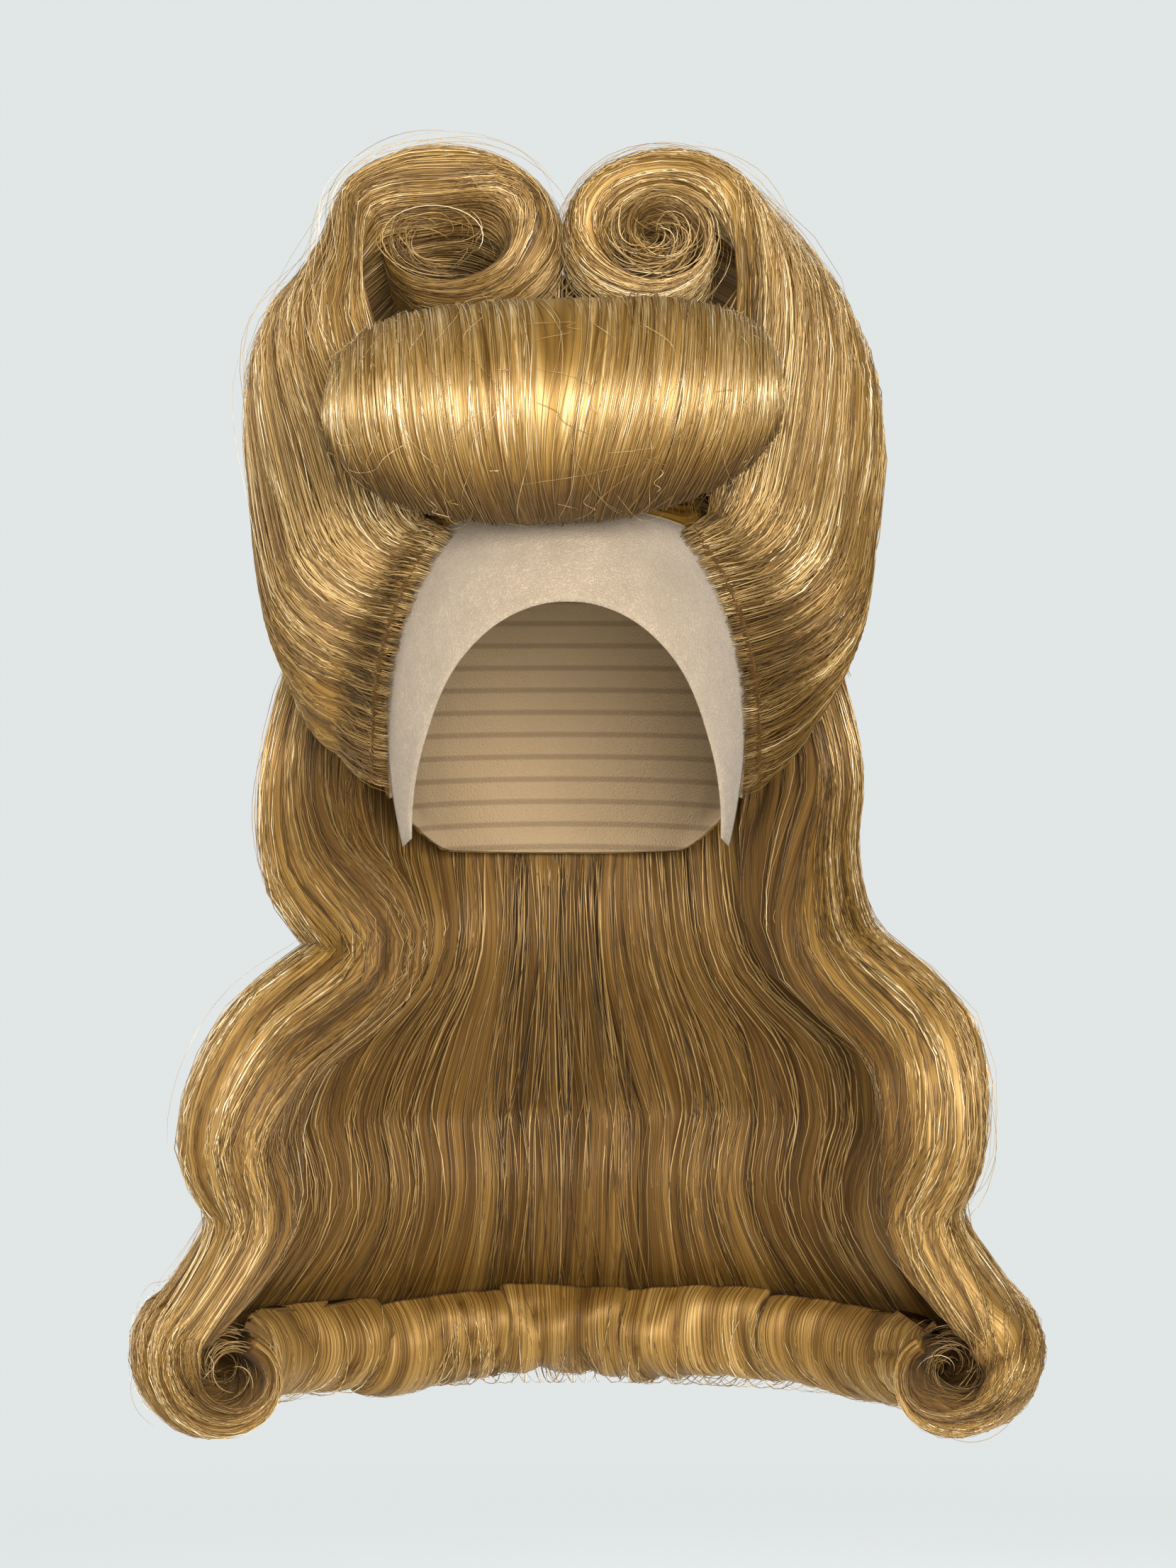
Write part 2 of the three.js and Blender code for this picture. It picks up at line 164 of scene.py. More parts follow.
def headPoint(azimuth, z, grow):
    # A point on the head's cover: azimuth from straight ahead, positive to the wearer's left
    reach = np.sqrt(np.clip(1 - ((z + head["rise"]) / headHigh(z, grow)) ** 2, 0, 1))
    x, y = (halfBreadth + grow) * np.sin(azimuth), -(halfLength + grow) * np.cos(azimuth)
    return stacked(x * reach, y * reach, z)


def headNormal(points):
    return unit(stacked(points[..., 0] / halfBreadth ** 2, points[..., 1] / halfLength ** 2,
                        (points[..., 2] + head["rise"]) / headHigh(points[..., 2]) ** 2))


def offHead(points, grow):
    # Moves what would lie in the head out to its cover
    depth = np.sqrt((points[..., 0] / (halfBreadth + grow)) ** 2 + (points[..., 1] / (halfLength + grow)) ** 2
                    + ((points[..., 2] + head["rise"]) / headHigh(points[..., 2], grow)) ** 2)
    factor = np.where(depth < 1, 1 / np.maximum(depth, 0.2), 1)[..., None]
    return headCentre + (points - headCentre) * factor


def edgeByAzimuth(rows):
    # Turns a side outline into azimuth and height on the head
    rows = np.array(rows)
    fine = np.linspace(0, len(rows) - 1, 400)
    y = np.interp(fine, range(len(rows)), rows[:, 0]) * halfLength
    z = -np.interp(fine, range(len(rows)), rows[:, 1]) * head["rise"]
    side = 1 - ((z + head["rise"]) / headHigh(z)) ** 2 - (y / halfLength) ** 2
    kept = side > 0
    azimuth = np.arctan2(np.sqrt(side[kept]), -y[kept] / halfLength)
    order = np.argsort(azimuth)
    return azimuth[order], z[kept][order]


# Meshes and their attributes

def addAttributes(mesh, attributes):
    for key, values in attributes.items():
        values = np.asarray(values, np.float32)
        vector = values.ndim > 1 and values.shape[-1] == 3
        layer = mesh.attributes.new(key, "FLOAT_VECTOR" if vector else "FLOAT", "POINT")
        layer.data.foreach_set("vector" if vector else "value", values.ravel())


def addMesh(name, points, faces, attributes, material):
    mesh = bpy.data.meshes.new(name)
    mesh.from_pydata(points.reshape(-1, 3).tolist(), [], faces)
    addAttributes(mesh, attributes)
    mesh.polygons.foreach_set("use_smooth", [True] * len(mesh.polygons))
    mesh.materials.append(material)
    mesh.update()
    return addObject(name, mesh)


def gridFaces(rows, columns, columnsMeet, rowsMeet=False):
    faces = []
    for r in range(rows if rowsMeet else rows - 1):
        for c in range(columns if columnsMeet else columns - 1):
            n, below = (c + 1) % columns, (r + 1) % rows
            faces.append([r * columns + c, r * columns + n, below * columns + n, below * columns + c])
    return faces


def turnedOut(faces, points):
    # Turns every face round if the closed shape is inside out
    flat = points.reshape(-1, 3)
    tris = np.array([(f[0], f[i], f[i + 1]) for f in faces for i in range(1, len(f) - 1)])
    a, b, c = flat[tris[:, 0]], flat[tris[:, 1]], flat[tris[:, 2]]
    volume = np.einsum("ij,ij->i", a, np.cross(b, c)).sum()
    return faces if volume > 0 else [f[::-1] for f in faces]


def mergeDoubles(thing, distance=1e-5):
    shape = bmesh.new()
    shape.from_mesh(thing.data)
    bmesh.ops.remove_doubles(shape, verts=shape.verts, dist=distance)
    bmesh.ops.dissolve_degenerate(shape, edges=shape.edges, dist=distance / 10)
    shape.to_mesh(thing.data)
    shape.free()
    thing.data.update()


def finishPiece(thing, slot, *nodes):
    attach(thing, "root")
    if nodes:
        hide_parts(*nodes)


# Materials

def addNode(tree, kind, inputs=(), **settings):
    # A node with its settings; an input is a number, a colour or another node's socket
    node = tree.nodes.new(kind)
    for key, value in settings.items():
        setattr(node, key, value)
    for key, value in dict(inputs).items():
        if isinstance(value, bpy.types.NodeSocket):
            tree.links.new(value, node.inputs[key])
        else:
            node.inputs[key].default_value = value
    return node


def mathNode(tree, operation, *values, clamp=False):
    return addNode(tree, "ShaderNodeMath", dict(enumerate(values)), operation=operation,
                   use_clamp=clamp).outputs[0]


def rangeNode(tree, value, start=(0.0, 1.0), to=(0.0, 1.0), curve="LINEAR"):
    return addNode(tree, "ShaderNodeMapRange", {
        "Value": value, "From Min": start[0], "From Max": start[1], "To Min": to[0], "To Max": to[1]},
        interpolation_type=curve).outputs[0]


def noiseNode(tree, vector, scale, detail, roughness=0.5):
    return addNode(tree, "ShaderNodeTexNoise", {
        "Vector": vector, "Scale": scale, "Detail": detail, "Roughness": roughness}).outputs["Fac"]


def netNode(tree, vector, scale):
    return addNode(tree, "ShaderNodeTexVoronoi", {"Vector": vector, "Scale": scale},
                   feature="DISTANCE_TO_EDGE").outputs["Distance"]


def mixNode(tree, amount, first, second):
    return addNode(tree, "ShaderNodeMix", {"Factor": amount, "A": (*first, 1), "B": (*second, 1)},
                   data_type="RGBA").outputs["Result"]


def bumpNode(tree, height, distance, strength=1.0):
    return addNode(tree, "ShaderNodeBump", {
        "Height": height, "Distance": distance, "Strength": strength}).outputs[0]


def newMaterial(name):
    material = bpy.data.materials.new(name)
    material.use_nodes = True
    material.node_tree.nodes.clear()
    return material, material.node_tree


def finishMaterial(tree, inputs):
    shader = addNode(tree, "ShaderNodeBsdfPrincipled", inputs)
    addNode(tree, "ShaderNodeOutputMaterial", {"Surface": shader.outputs["BSDF"]})


hairLook = {
    "deep": (0.016, 0.006, 0.0008), "dark": (0.105, 0.046, 0.006), "mid": (0.28, 0.152, 0.032),
    "light": (0.53, 0.35, 0.135), "pale": (0.88, 0.76, 0.52),
    "stops": ((0.16, "dark"), (0.42, "mid"), (0.7, "light")),
    "streaks": (900.0, 8.0, 13.0), "ribbons": (190.0, 4.0, 5.0), "grain": 0.55,
    "streakGain": 1.25, "ribbonGain": 0.36, "toneGain": 0.57, "offset": -0.65,
    "dull": 0.33, "dullLoss": 0.35, "glint": (1.0, 0.88, 0.68), "ior": 1.55, "bump": 0.0003,
    "bumpStrength": 0.8, "sheen": 0.03, "sheenRough": 0.4, "sheenTint": (1.0, 0.86, 0.6)}
hairFinishes = {  # painted light and shade (bodies darker under their strands, strands lighter on top, root hair darker under the hair above), how rough from streak to streak, metallic share, shine and its stretch
    "body": {"paintedLightShift": -0.07, "rough": (0.46, 0.60), "metallic": 0.32, "shine": 0.4, "stretch": 0.5},
    "strand": {"paintedLightShift": 0.07, "rough": (0.36, 0.48), "metallic": 0.40, "shine": 1.0, "stretch": 0.6},
    "roots": {"paintedLightShift": -0.12, "rough": (0.70, 0.85), "metallic": 0.0, "shine": 0.0, "stretch": 0.0},
}


def flowNoise(tree, flow, scale, detail):
    # Noise drawn out along the hair
    move = addNode(tree, "ShaderNodeMapping", {"Vector": flow, "Scale": scale})
    return noiseNode(tree, move.outputs[0], 1.0, detail, hairLook["grain"])


def makeHairMaterial(name, finish):
    material, tree = newMaterial(name)
    flow, lay, shade = (addNode(tree, "ShaderNodeAttribute", attribute_name=key).outputs[kind]
                        for key, kind in (("flow", "Vector"), ("lay", "Vector"), ("shade", "Fac")))
    streaks = flowNoise(tree, flow, hairLook["streaks"], 2.0)
    ribbons = flowNoise(tree, flow, hairLook["ribbons"], 3.0)
    own = addNode(tree, "ShaderNodeSeparateXYZ", {0: flow}).outputs[2]
    tone = hairLook["offset"] + finish["paintedLightShift"]
    for part, gain in ((streaks, "streakGain"), (ribbons, "ribbonGain"), (own, "toneGain")):
        tone = mathNode(tree, "MULTIPLY_ADD", part, hairLook[gain], tone)
    ramp = addNode(tree, "ShaderNodeValToRGB", {0: mathNode(tree, "MULTIPLY", tone, shade, clamp=True)})
    stops = ramp.color_ramp.elements
    stops[0].color, stops[1].color = (*hairLook["deep"], 1), (*hairLook["pale"], 1)
    for place, key in hairLook["stops"]:
        stops.new(place).color = (*hairLook[key], 1)
    dull = mathNode(tree, "MULTIPLY_ADD", shade, -hairLook["dullLoss"], hairLook["dull"])
    rough = mathNode(tree, "ADD", rangeNode(tree, streaks, to=finish["rough"]),
                     mathNode(tree, "MAXIMUM", dull, 0.0), clamp=True)
    relief = mathNode(tree, "ADD", streaks, ribbons)
    finishMaterial(tree, {
        "Base Color": ramp.outputs[0], "Roughness": rough, "Tangent": lay,
        "Normal": bumpNode(tree, relief, hairLook["bump"], hairLook["bumpStrength"]),
        "Anisotropic": finish["stretch"], "Metallic": finish["metallic"], "IOR": hairLook["ior"],
        "Specular IOR Level": finish["shine"], "Specular Tint": (*hairLook["glint"], 1),
        "Sheen Weight": hairLook["sheen"], "Sheen Roughness": hairLook["sheenRough"],
        "Sheen Tint": (*hairLook["sheenTint"], 1)})
    return material


laceLook = {"colour": (0.31, 0.235, 0.155), "thread": (0.40, 0.305, 0.205), "mesh": 1100.0, "alpha": 0.88,
            "threadAlpha": 0.14, "threadEnd": 0.25, "blotch": 60.0, "speckle": (0.3, 0.7), "bump": 0.0002}
# The cap's net and thread colours, darkened in part as painted shade inside the cap
capLook = {"net": (0.29, 0.20, 0.105), "thread": (0.19, 0.125, 0.062), "weft": 0.0095, "mesh": 620.0,
           "track": (0.55, 0.9), "trackGain": 0.8, "stain": 48.0, "stainGain": 0.3, "bump": 0.0005}


def makeLaceMaterial():
    material, tree = newMaterial("sheerLace")
    place = addNode(tree, "ShaderNodeTexCoord").outputs["Object"]
    net = rangeNode(tree, netNode(tree, place, laceLook["mesh"]), (0.0, laceLook["threadEnd"]), (1.0, 0.0))
    speckle = rangeNode(tree, noiseNode(tree, place, laceLook["blotch"], 9.0, 0.72), laceLook["speckle"])
    fine = mathNode(tree, "MULTIPLY", net, speckle)
    amount = mathNode(tree, "MULTIPLY_ADD", speckle, 0.5, fine, clamp=True)
    finishMaterial(tree, {
        "Base Color": mixNode(tree, amount, laceLook["colour"], laceLook["thread"]),
        "Alpha": mathNode(tree, "MULTIPLY_ADD", net, laceLook["threadAlpha"], laceLook["alpha"]),
        "Normal": bumpNode(tree, net, laceLook["bump"]), "Roughness": 0.85, "Sheen Weight": 0.2})
    return material


def makeCapMaterial():
    material, tree = newMaterial("capNetting")
    place = addNode(tree, "ShaderNodeTexCoord").outputs["Object"]
    height = addNode(tree, "ShaderNodeSeparateXYZ", {0: place}).outputs[2]
    rows = mathNode(tree, "SINE", mathNode(tree, "MULTIPLY", height, fullTurn / capLook["weft"]))
    track = mathNode(tree, "MULTIPLY", rangeNode(tree, rows, capLook["track"]), capLook["trackGain"])
    stain = noiseNode(tree, place, capLook["stain"], 6.0)
    amount = mathNode(tree, "MULTIPLY_ADD", stain, capLook["stainGain"], track, clamp=True)
    finishMaterial(tree, {
        "Base Color": mixNode(tree, amount, capLook["net"], capLook["thread"]),
        "Normal": bumpNode(tree, netNode(tree, place, capLook["mesh"]), capLook["bump"]), "Roughness": 0.9})
    return material


hairBody, hairStrand, hairRoots = (makeHairMaterial(name, hairFinishes[key]) for name, key in (
    ("goldenHair", "body"), ("goldenStrands", "strand"), ("goldenRoots", "roots")))
laceMaterial = makeLaceMaterial()
capMaterial = makeCapMaterial()
print("materials made")


# Strands: guides with their own width, laid flat along the hair by a node tree

def makeStrandTree():
    tree = bpy.data.node_groups.new("combedStrands", "GeometryNodeTree")
    for label, kind, value in (("Guides", "Geometry", None), ("Flatness", "Float", 0.55), ("Sides", "Int", 3),
                               ("Tip taper", "Float", 0.4), ("Hair", "Material", None)):
        socket = tree.interface.new_socket(label, in_out="INPUT", socket_type="NodeSocket" + kind)
        if value is not None:
            socket.default_value = value
    tree.interface.new_socket("Strands", in_out="OUTPUT", socket_type="NodeSocketGeometry")
    given = addNode(tree, "NodeGroupInput").outputs
    lean, width = (addNode(tree, "GeometryNodeInputNamedAttribute", {"Name": key},
                           data_type=kind).outputs["Attribute"]
                   for key, kind in (("lean", "FLOAT_VECTOR"), ("width", "FLOAT")))
    curves = addNode(tree, "GeometryNodeMeshToCurve", {"Mesh": given["Guides"]})
    upright = addNode(tree, "GeometryNodeSetCurveNormal", {"Curve": curves.outputs[0], "Normal": lean},
                      mode="FREE")
    along = addNode(tree, "GeometryNodeSplineParameter").outputs["Factor"]
    hump = mathNode(tree, "MULTIPLY", along, mathNode(tree, "SUBTRACT", 1.0, along))
    taper = mathNode(tree, "POWER", mathNode(tree, "MULTIPLY_ADD", hump, 3.9, 0.02), given["Tip taper"])
    ring = addNode(tree, "GeometryNodeCurvePrimitiveCircle", {"Radius": 1.0, "Resolution": given["Sides"]})
    squash = addNode(tree, "ShaderNodeCombineXYZ", {0: given["Flatness"], 1: 1.0, 2: 1.0})
    flat = addNode(tree, "GeometryNodeTransform", {
        "Geometry": ring.outputs["Curve"], "Scale": squash.outputs[0]})
    made = addNode(tree, "GeometryNodeCurveToMesh", {
        "Curve": upright.outputs[0], "Profile Curve": flat.outputs[0], "Fill Caps": True,
        "Scale": mathNode(tree, "MULTIPLY", taper, width)})
    for kind in ("GeometryNodeSetShadeSmooth", "GeometryNodeRealizeInstances"):
        made = addNode(tree, kind, {"Geometry": made.outputs[0]})
    made = addNode(tree, "GeometryNodeSetMaterial", {"Geometry": made.outputs[0], "Material": given["Hair"]})
    addNode(tree, "NodeGroupOutput", {"Strands": made.outputs[0]})
    return tree


strandTree = makeStrandTree()
strandLook = {"under": 0.0004, "loose": 0.12, "lift": (-0.00015, 0.0004), "looseLift": (0.0002, 0.0012),
              "looseStray": 2.4, "swerves": (0.7, 2.2), "uneven": 0.00015, "sink": 0.0014, "sinkOver": 0.06,
              "slip": 0.02, "shade": (0.9, 1.1), "probe": 0.0006}


def inputId(tree, label):
    return next(item.identifier for item in tree.interface.items_tree
                if item.item_type == "SOCKET" and item.in_out == "INPUT" and item.name == label)


def makeStrands(name, guides, flatness=0.55):
    # One piece of hair from a set of guides
    count, places = guides["points"].shape[:2]
    mesh = bpy.data.meshes.new(name + "Guides")
    steps = np.arange(count * places).reshape(count, places)
    edges = np.stack([steps[:, :-1].ravel(), steps[:, 1:].ravel()], axis=1)
    mesh.from_pydata(guides["points"].reshape(-1, 3).tolist(), edges.tolist(), [])
    addAttributes(mesh, {key: values for key, values in guides.items() if key != "points"})
    holder = addObject(name + "Guides", mesh)
    comb = holder.modifiers.new("comb", "NODES")
    comb.node_group = strandTree
    comb[inputId(strandTree, "Flatness")] = flatness
    comb[inputId(strandTree, "Hair")] = hairStrand
    graph = bpy.context.evaluated_depsgraph_get()
    made = bpy.data.meshes.new_from_object(holder.evaluated_get(graph), depsgraph=graph)
    for key in ("lean", "width"):
        if key in made.attributes:
            made.attributes.remove(made.attributes[key])
    made.name = name
    bpy.data.objects.remove(holder)
    bpy.data.meshes.remove(mesh)
    finishPiece(addObject(name, made), "hair")


def frameOf(place, along, across, lift, step=0.002):
    # A point of a surface with its outward direction and the direction across the hair
    here = place(along, across, lift)
    aside = place(along, across + step, lift) - place(along, across - step, lift)
    lean = unit(place(along, across, lift + strandLook["probe"]) - here)
    return here, lean, unit(aside - lean * np.sum(aside * lean, axis=-1, keepdims=True))


def clumpStyle(look):
    # Hair that falls into clumps of uneven width, which wander, with creases between them that are painted
    # darker as shade
    seed, count = look["seed"], look["clumps"]
    rng = np.random.default_rng(seed)
    lifts, tones = rng.uniform(-1, 1, count), rng.uniform(-1, 1, count)
    uneven = ((max(2, count // 4), 0.0, 1.0), (max(2, count // 3), 0.0, 0.7))
    splits, depths = ((3, 1.5, 1.0), (7, 3.0, 0.6)), ((2, 1.5, 1.0), (4, 2.5, 0.7))

    def drift(across, along):
        return look["sway"] * ripple(seed, across, along, look["bends"])

    def clump(across, along):
        course = across + drift(across, along)
        phase = count * course + 0.3 * ripple(seed + 1, course, 0 * along, uneven)
        ridge = 1 - np.abs(2 * (phase - np.floor(phase)) - 1) ** 2.6
        split = phase * look["split"] + 0.4 * ripple(seed + 5, course, along, splits)
        fine = 1 - np.abs(2 * (split - np.floor(split)) - 1) ** 2
        return np.floor(phase).astype(int) % count, ridge, fine

    def groove(across, along):
        cell, ridge, fine = clump(across, along)
        amount = 0.72 + 0.28 * ripple(seed + 9, across, along, depths)
        swell = look["swell"] * ripple(seed + 20, across, along, look["swells"])
        ridged = look["depth"] * amount * ((1 + 0.3 * lifts[cell]) * ridge - 1)
        calm = 1 - (1 - look["calm"]) * smoothStep(0.28, 0.42, along)
        eased = smoothStep(0, 0.06, along) * (1 - 0.7 * smoothStep(0.93, 1, along))
        return (ridged * calm + swell * (2 * calm - 1) + look["fineDepth"] * (fine - 1)) * eased

    def shade(across, along):
        cell, ridge, fine = clump(across, along)
        # Painted shade in the creases between clumps and in the finer splits, the tops a little lighter, a
        # random tone per clump, times the style's own painted light and shade
        paintedCreaseShade = look["crease"] * (0.12 - (1 - ridge) ** 1.4)
        own = 1 + paintedCreaseShade - 0.14 * (1 - fine) + look["varied"] * tones[cell]
        return own * look["shade"](across, along)

    return {**look, "drift": drift, "groove": groove, "tone": shade}


def draws(seed, count, places):
    # Steps along the strands, and one random number a strand: between two values, or about 0
    rng = np.random.default_rng(seed)

    def even(low=0.0, high=1.0):
        return rng.uniform(low, high, (count, 1))

    def about(spread):
        return rng.normal(0, spread, (count, 1))

    return rng, np.linspace(0, 1, places)[None, :], even, about


def guideSet(points, lean, lay, flow, width, shade):
    # Guides: points, outward directions, directions across, pattern places, half widths and shades
    shape = points.shape[:2]
    return {"points": points, "lean": lean, "lay": lay, "flow": flow,
            "width": np.broadcast_to(width, shape), "shade": np.broadcast_to(shade, shape)}


def surfaceGuides(place, style, starts, ends, across, seed, places, warp=((0, 0), (1, 1))):
    # Strands that follow the hair's own flow over a surface; a few are looser than the rest
    look, across = strandLook, across[:, None]
    _, t, even, about = draws(seed, len(across), places)
    t = np.interp(t, *zip(*warp))
    along = starts[:, None] + (ends - starts)[:, None] * t
    free = (even() < look["loose"]).astype(float)
    lift = even(*look["lift"]) + free * even(*look["looseLift"])
    stray = style["stray"] * (1 + look["looseStray"] * free)
    course = across - style["drift"](across, along)
    course = course + about(1) * stray * np.sin(math.pi * (t * even(*look["swerves"]) + even()))
    height = style["groove"](course, along) + lift
    height = height + about(look["uneven"]) * np.sin(fullTurn * (t * 3 + even()))
    sunk = 1 - smoothStep(0, look["sinkOver"], t) * smoothStep(0, look["sinkOver"], 1 - t)
    points, lean, lay = frameOf(place, along, course, height - sunk * look["sink"])
    tone = 0.5 + style["tones"] * (even() - 0.5)
    flow = stacked(course * style["round"] + even() * look["slip"], along * style["length"], tone)
    shade = style["tone"](course, along) * even(*look["shade"])
    width = style["thin"] + (style["wide"] - style["thin"]) * even() ** 2
    return guideSet(points, lean, lay, flow, width, shade)


def flyawayGuides(place, count, spans, acrossSpan, rise, seed, swerve=0.02, places=14):
    # Short fine hairs that leave the surface in a shallow arc
    _, t, even, about = draws(seed, count, places)
    along = even(*spans[0]) + even(*spans[1]) * t
    course = even(*acrossSpan) + about(swerve) * t
    course = course + 0.006 * np.sin(math.pi * (t * even(1, 3) + 2 * even()))
    high = even(0.15, 1) ** 2 * rise
    height = 0.0003 + high * np.sin(math.pi * t * even(0.55, 1))
    points, lean, lay = frameOf(place, along, course, height)
    flow = stacked(course * 0.2, along * 0.3, even(0.5, 1))
    return guideSet(points, lean, lay, flow, even(0.00009, 0.00016), even(0.7, 1.1))


def layAcross(points, lean):
    return unit(np.cross(np.gradient(points, axis=1), lean))


def freeGuides(points, lean, tone, width, shade):
    # Strands on a path of their own
    t = np.linspace(0, 1, points.shape[1])[None, :]
    flow = stacked(tone * 3, 0.06 * t, tone)
    return guideSet(points, lean, layAcross(points, lean), flow, width, shade)


def settledGuides(first, second, mix, tone, width, shade):
    # Strands that start on one path and settle onto another; a path is points and outward directions
    points, lean = (a + (b - a) * mix[..., None] for a, b in zip(first, second))
    return freeGuides(points, unit(lean), tone, width, shade)


def clumpedSkin(place, style, along, across):
    # A body's points just under its strands, with the same grooves and shades
    points, _, lay = frameOf(place, along, across, style["groove"](across, along) - strandLook["under"])
    flow = stacked(across * style["round"], along * style["length"], 0.5)
    return points, {"flow": flow, "lay": lay, "shade": style["tone"](across, along)}


def sweptBody(name, place, style, alongCount, aroundCount):
    # The closed base of a mass of hair
    along = np.linspace(0, 1, alongCount)[:, None] * np.ones((1, aroundCount))
    around = (np.arange(aroundCount) / aroundCount)[None, :] * np.ones((alongCount, 1))
    points, attributes = clumpedSkin(place, style, along, around)
    size = alongCount * aroundCount
    last = size - aroundCount

    def ended(values):
        # The ends' middle points take the values of the first and last point
        values = values.reshape(size, -1)
        return np.vstack([values, values[:1], values[-1:]])

    points = points.reshape(-1, 3)
    points = np.vstack([points, points[:aroundCount].mean(axis=0), points[last:].mean(axis=0)])
    faces = gridFaces(alongCount, aroundCount, True)
    for c in range(aroundCount):
        n = (c + 1) % aroundCount
        faces += [[size, n, c], [size + 1, last + c, last + n]]
    attributes = {key: ended(values) for key, values in attributes.items()}
    return addMesh(name, points, turnedOut(faces, points), attributes, hairBody)


# The rolled fringe
fringe = {"length": 0.177, "height": 0.088, "depth": 0.084, "forward": 0.093, "up": 0.010, "shift": -0.0055,
          "tilt": 2.4, "tail": 0.62, "full": 2.7, "flatTop": 0.5, "pinchUnder": 0.2, "pinchTop": 0.1,
          "rows": 108, "columns": 96, "strands": 600, "places": 22, "frizz": 150}


def fringePlace(along, across, lift):
    # along goes round the roll from its tail over the top, across from end to end
    turn = 2 * math.pi * along
    s = np.clip(across, 0.0, 1.0) * 2 - 1
    pinch = fringe["pinchTop"] + fringe["pinchUnder"] * np.maximum(0, -np.sin(turn)) ** 2
    s = s * (1 - pinch * (1 - s ** 2))
    bend = np.sign(s) * (1 - (1 - np.abs(s)) ** 1.25) * math.pi / 2
    power = fringe["full"] + fringe["flatTop"] * np.sin(turn)
    reach = np.sign(bend) * np.abs(np.sin(bend)) ** (2 / power)
    end = np.maximum(np.cos(bend), 0) ** (2 / power)
    tail = 1 + fringe["tail"] * np.maximum(0, np.cos(turn - 0.22)) ** 5
    high = fringe["height"] / 2 * tail * end + lift * end ** 0.5
    deep = fringe["depth"] / 2 * tail * end + lift * end ** 0.5
    x = reach * (fringe["length"] / 2 + lift)
    points = np.stack([
        fringe["shift"] + x, -fringe["forward"] + deep * np.cos(turn),
        fringe["up"] + high * np.sin(turn) + x * math.tan(math.radians(fringe["tilt"]))], axis=-1)
    return offHead(points, cover["clear"])


def fringePaintedLight(across, along):
    # Painted light and shade: lighter towards the top, a painted highlight band across the middle, and darker
    # behind and underneath
    way = np.mod(along, 1)
    under = smoothStep(0.53, 0.65, way) * (1 - smoothStep(0.93, 1.0, way))
    top = (1 - smoothStep(0.2, 0.44, way))
    back = 1 - smoothStep(0.02, 0.2, way)
    paintedHighlightBand = np.exp(-((way - 0.50 + 0.03 * (2 * across - 1) ** 2) / 0.05) ** 2)
    return 1.06 + 0.34 * paintedHighlightBand - 0.66 * under + 0.62 * top - 0.7 * back


fringeStyle = clumpStyle({
    "seed": 11, "clumps": 9, "split": 5, "depth": 0.0006, "fineDepth": 0.0003, "sway": 0.008, "crease": 0.08,
    "varied": 0.03, "swell": 0.0, "calm": 1.0, "tones": 0.3, "bends": ((2, 1.6, 1.0), (3, 2.4, 0.6)),
    "swells": ((1, 1.0, 1.0),), "round": 0.24, "length": 0.27, "thin": 0.00018, "wide": 0.00041,
    "stray": 0.004, "shade": fringePaintedLight})


def makeFringe():
    rows, columns = fringe["rows"], fringe["columns"]
    along = (np.arange(rows) / rows)[:, None] * np.ones((1, columns))
    across = np.linspace(0.0, 1.0, columns)[None, :] * np.ones((rows, 1))
    points, attributes = clumpedSkin(fringePlace, fringeStyle, along, across)
    faces = turnedOut(gridFaces(rows, columns, False, True), points)
    body = addMesh("fringeBody", points, faces, attributes, hairBody)
    mergeDoubles(body)
    finishPiece(body, "hair", "front_roll")
    rng = np.random.default_rng(12)
    count = thinned(fringe["strands"])
    spread = (np.arange(count) + rng.random(count)) / count
    makeStrands("fringeStrands", surfaceGuides(
        fringePlace, fringeStyle, rng.uniform(0.02, 0.2, count), rng.uniform(0.84, 0.98, count),
        spread, 13, fringe["places"]))
    makeStrands("fringeFrizz", flyawayGuides(
        fringePlace, thinned(fringe["frizz"]), ((0.3, 0.72), (-0.16, 0.2)), (0.04, 0.96), 0.0035, 14,
        swerve=0.045), 1.0)


makeFringe()
print("fringe made")


# Side sweeps that turn over into the victory rolls
sweep = {"reach": 0.119, "lift": 0.100, "below": 0.145, "depth": 0.066, "thickness": 0.023, "crown": 0.025,
         "plump": 1.4, "rearThin": 0.35, "recessFrom": 0.55, "square": 2.8, "start": 150, "step": 30,
         "rear": 0.74, "rows": 170, "round": 110, "strands": 460, "places": 32, "flyaways": 90}
sweepRows = [  # front edge out, back, up; rear edge out, back, up
    (0.42, -0.80, -0.27, 0.64, -0.38, -0.93),
    (0.49, -0.72, -0.21, 0.79, 0.16, -0.85),
    (0.53, -0.7, -0.06, 0.91, 0.52, -0.6),
    (0.6, -0.7, 0.18, 0.93, 0.76, -0.27),
    (0.68, -0.8, 0.5, 0.87, 0.82, 0.02),
    (0.7, -0.93, 0.76, 0.74, 0.78, 0.26),
]
rolls = [  # spiral centre out and up, half width and half height, at the front rim and at the rear end
    {"name": "rollRight", "node": "victory_roll_right", "side": -1, "turn": 330, "inner": 0.55, "shrink": 2.4,
     "thinFrom": 90, "thinTo": 330, "wall": 0.3, "recess": 0.45, "tuck": 0.0, "crownTo": 1.5,
     "front": (0.42, 0.825, 0.335, 0.277), "back": (0.35, 0.4, 0.23, 0.2), "seed": 21, "length": 0.42,
     "heart": {"strands": 150, "turns": (1.6, 4.4), "from": (0.42, 0.7), "to": (0.1, 0.5),
               "deep": (0.12, 0.8)}},
    {"name": "rollLeft", "node": "victory_roll_left", "side": 1, "turn": 570, "inner": 0.24, "shrink": 1.35,
     "thinFrom": 60, "thinTo": 300, "wall": 0.25, "recess": 0.1, "tuck": 0.11, "crownTo": 3.0,
     "front": (0.304, 0.825, 0.28, 0.281), "back": (0.3, 0.4, 0.2, 0.2), "seed": 31, "length": 0.52,
     "heart": {"strands": 190, "turns": (1.4, 5.0), "from": (0.2, 0.78), "to": (0.05, 0.5),
               "deep": (0.04, 0.5)}},
]


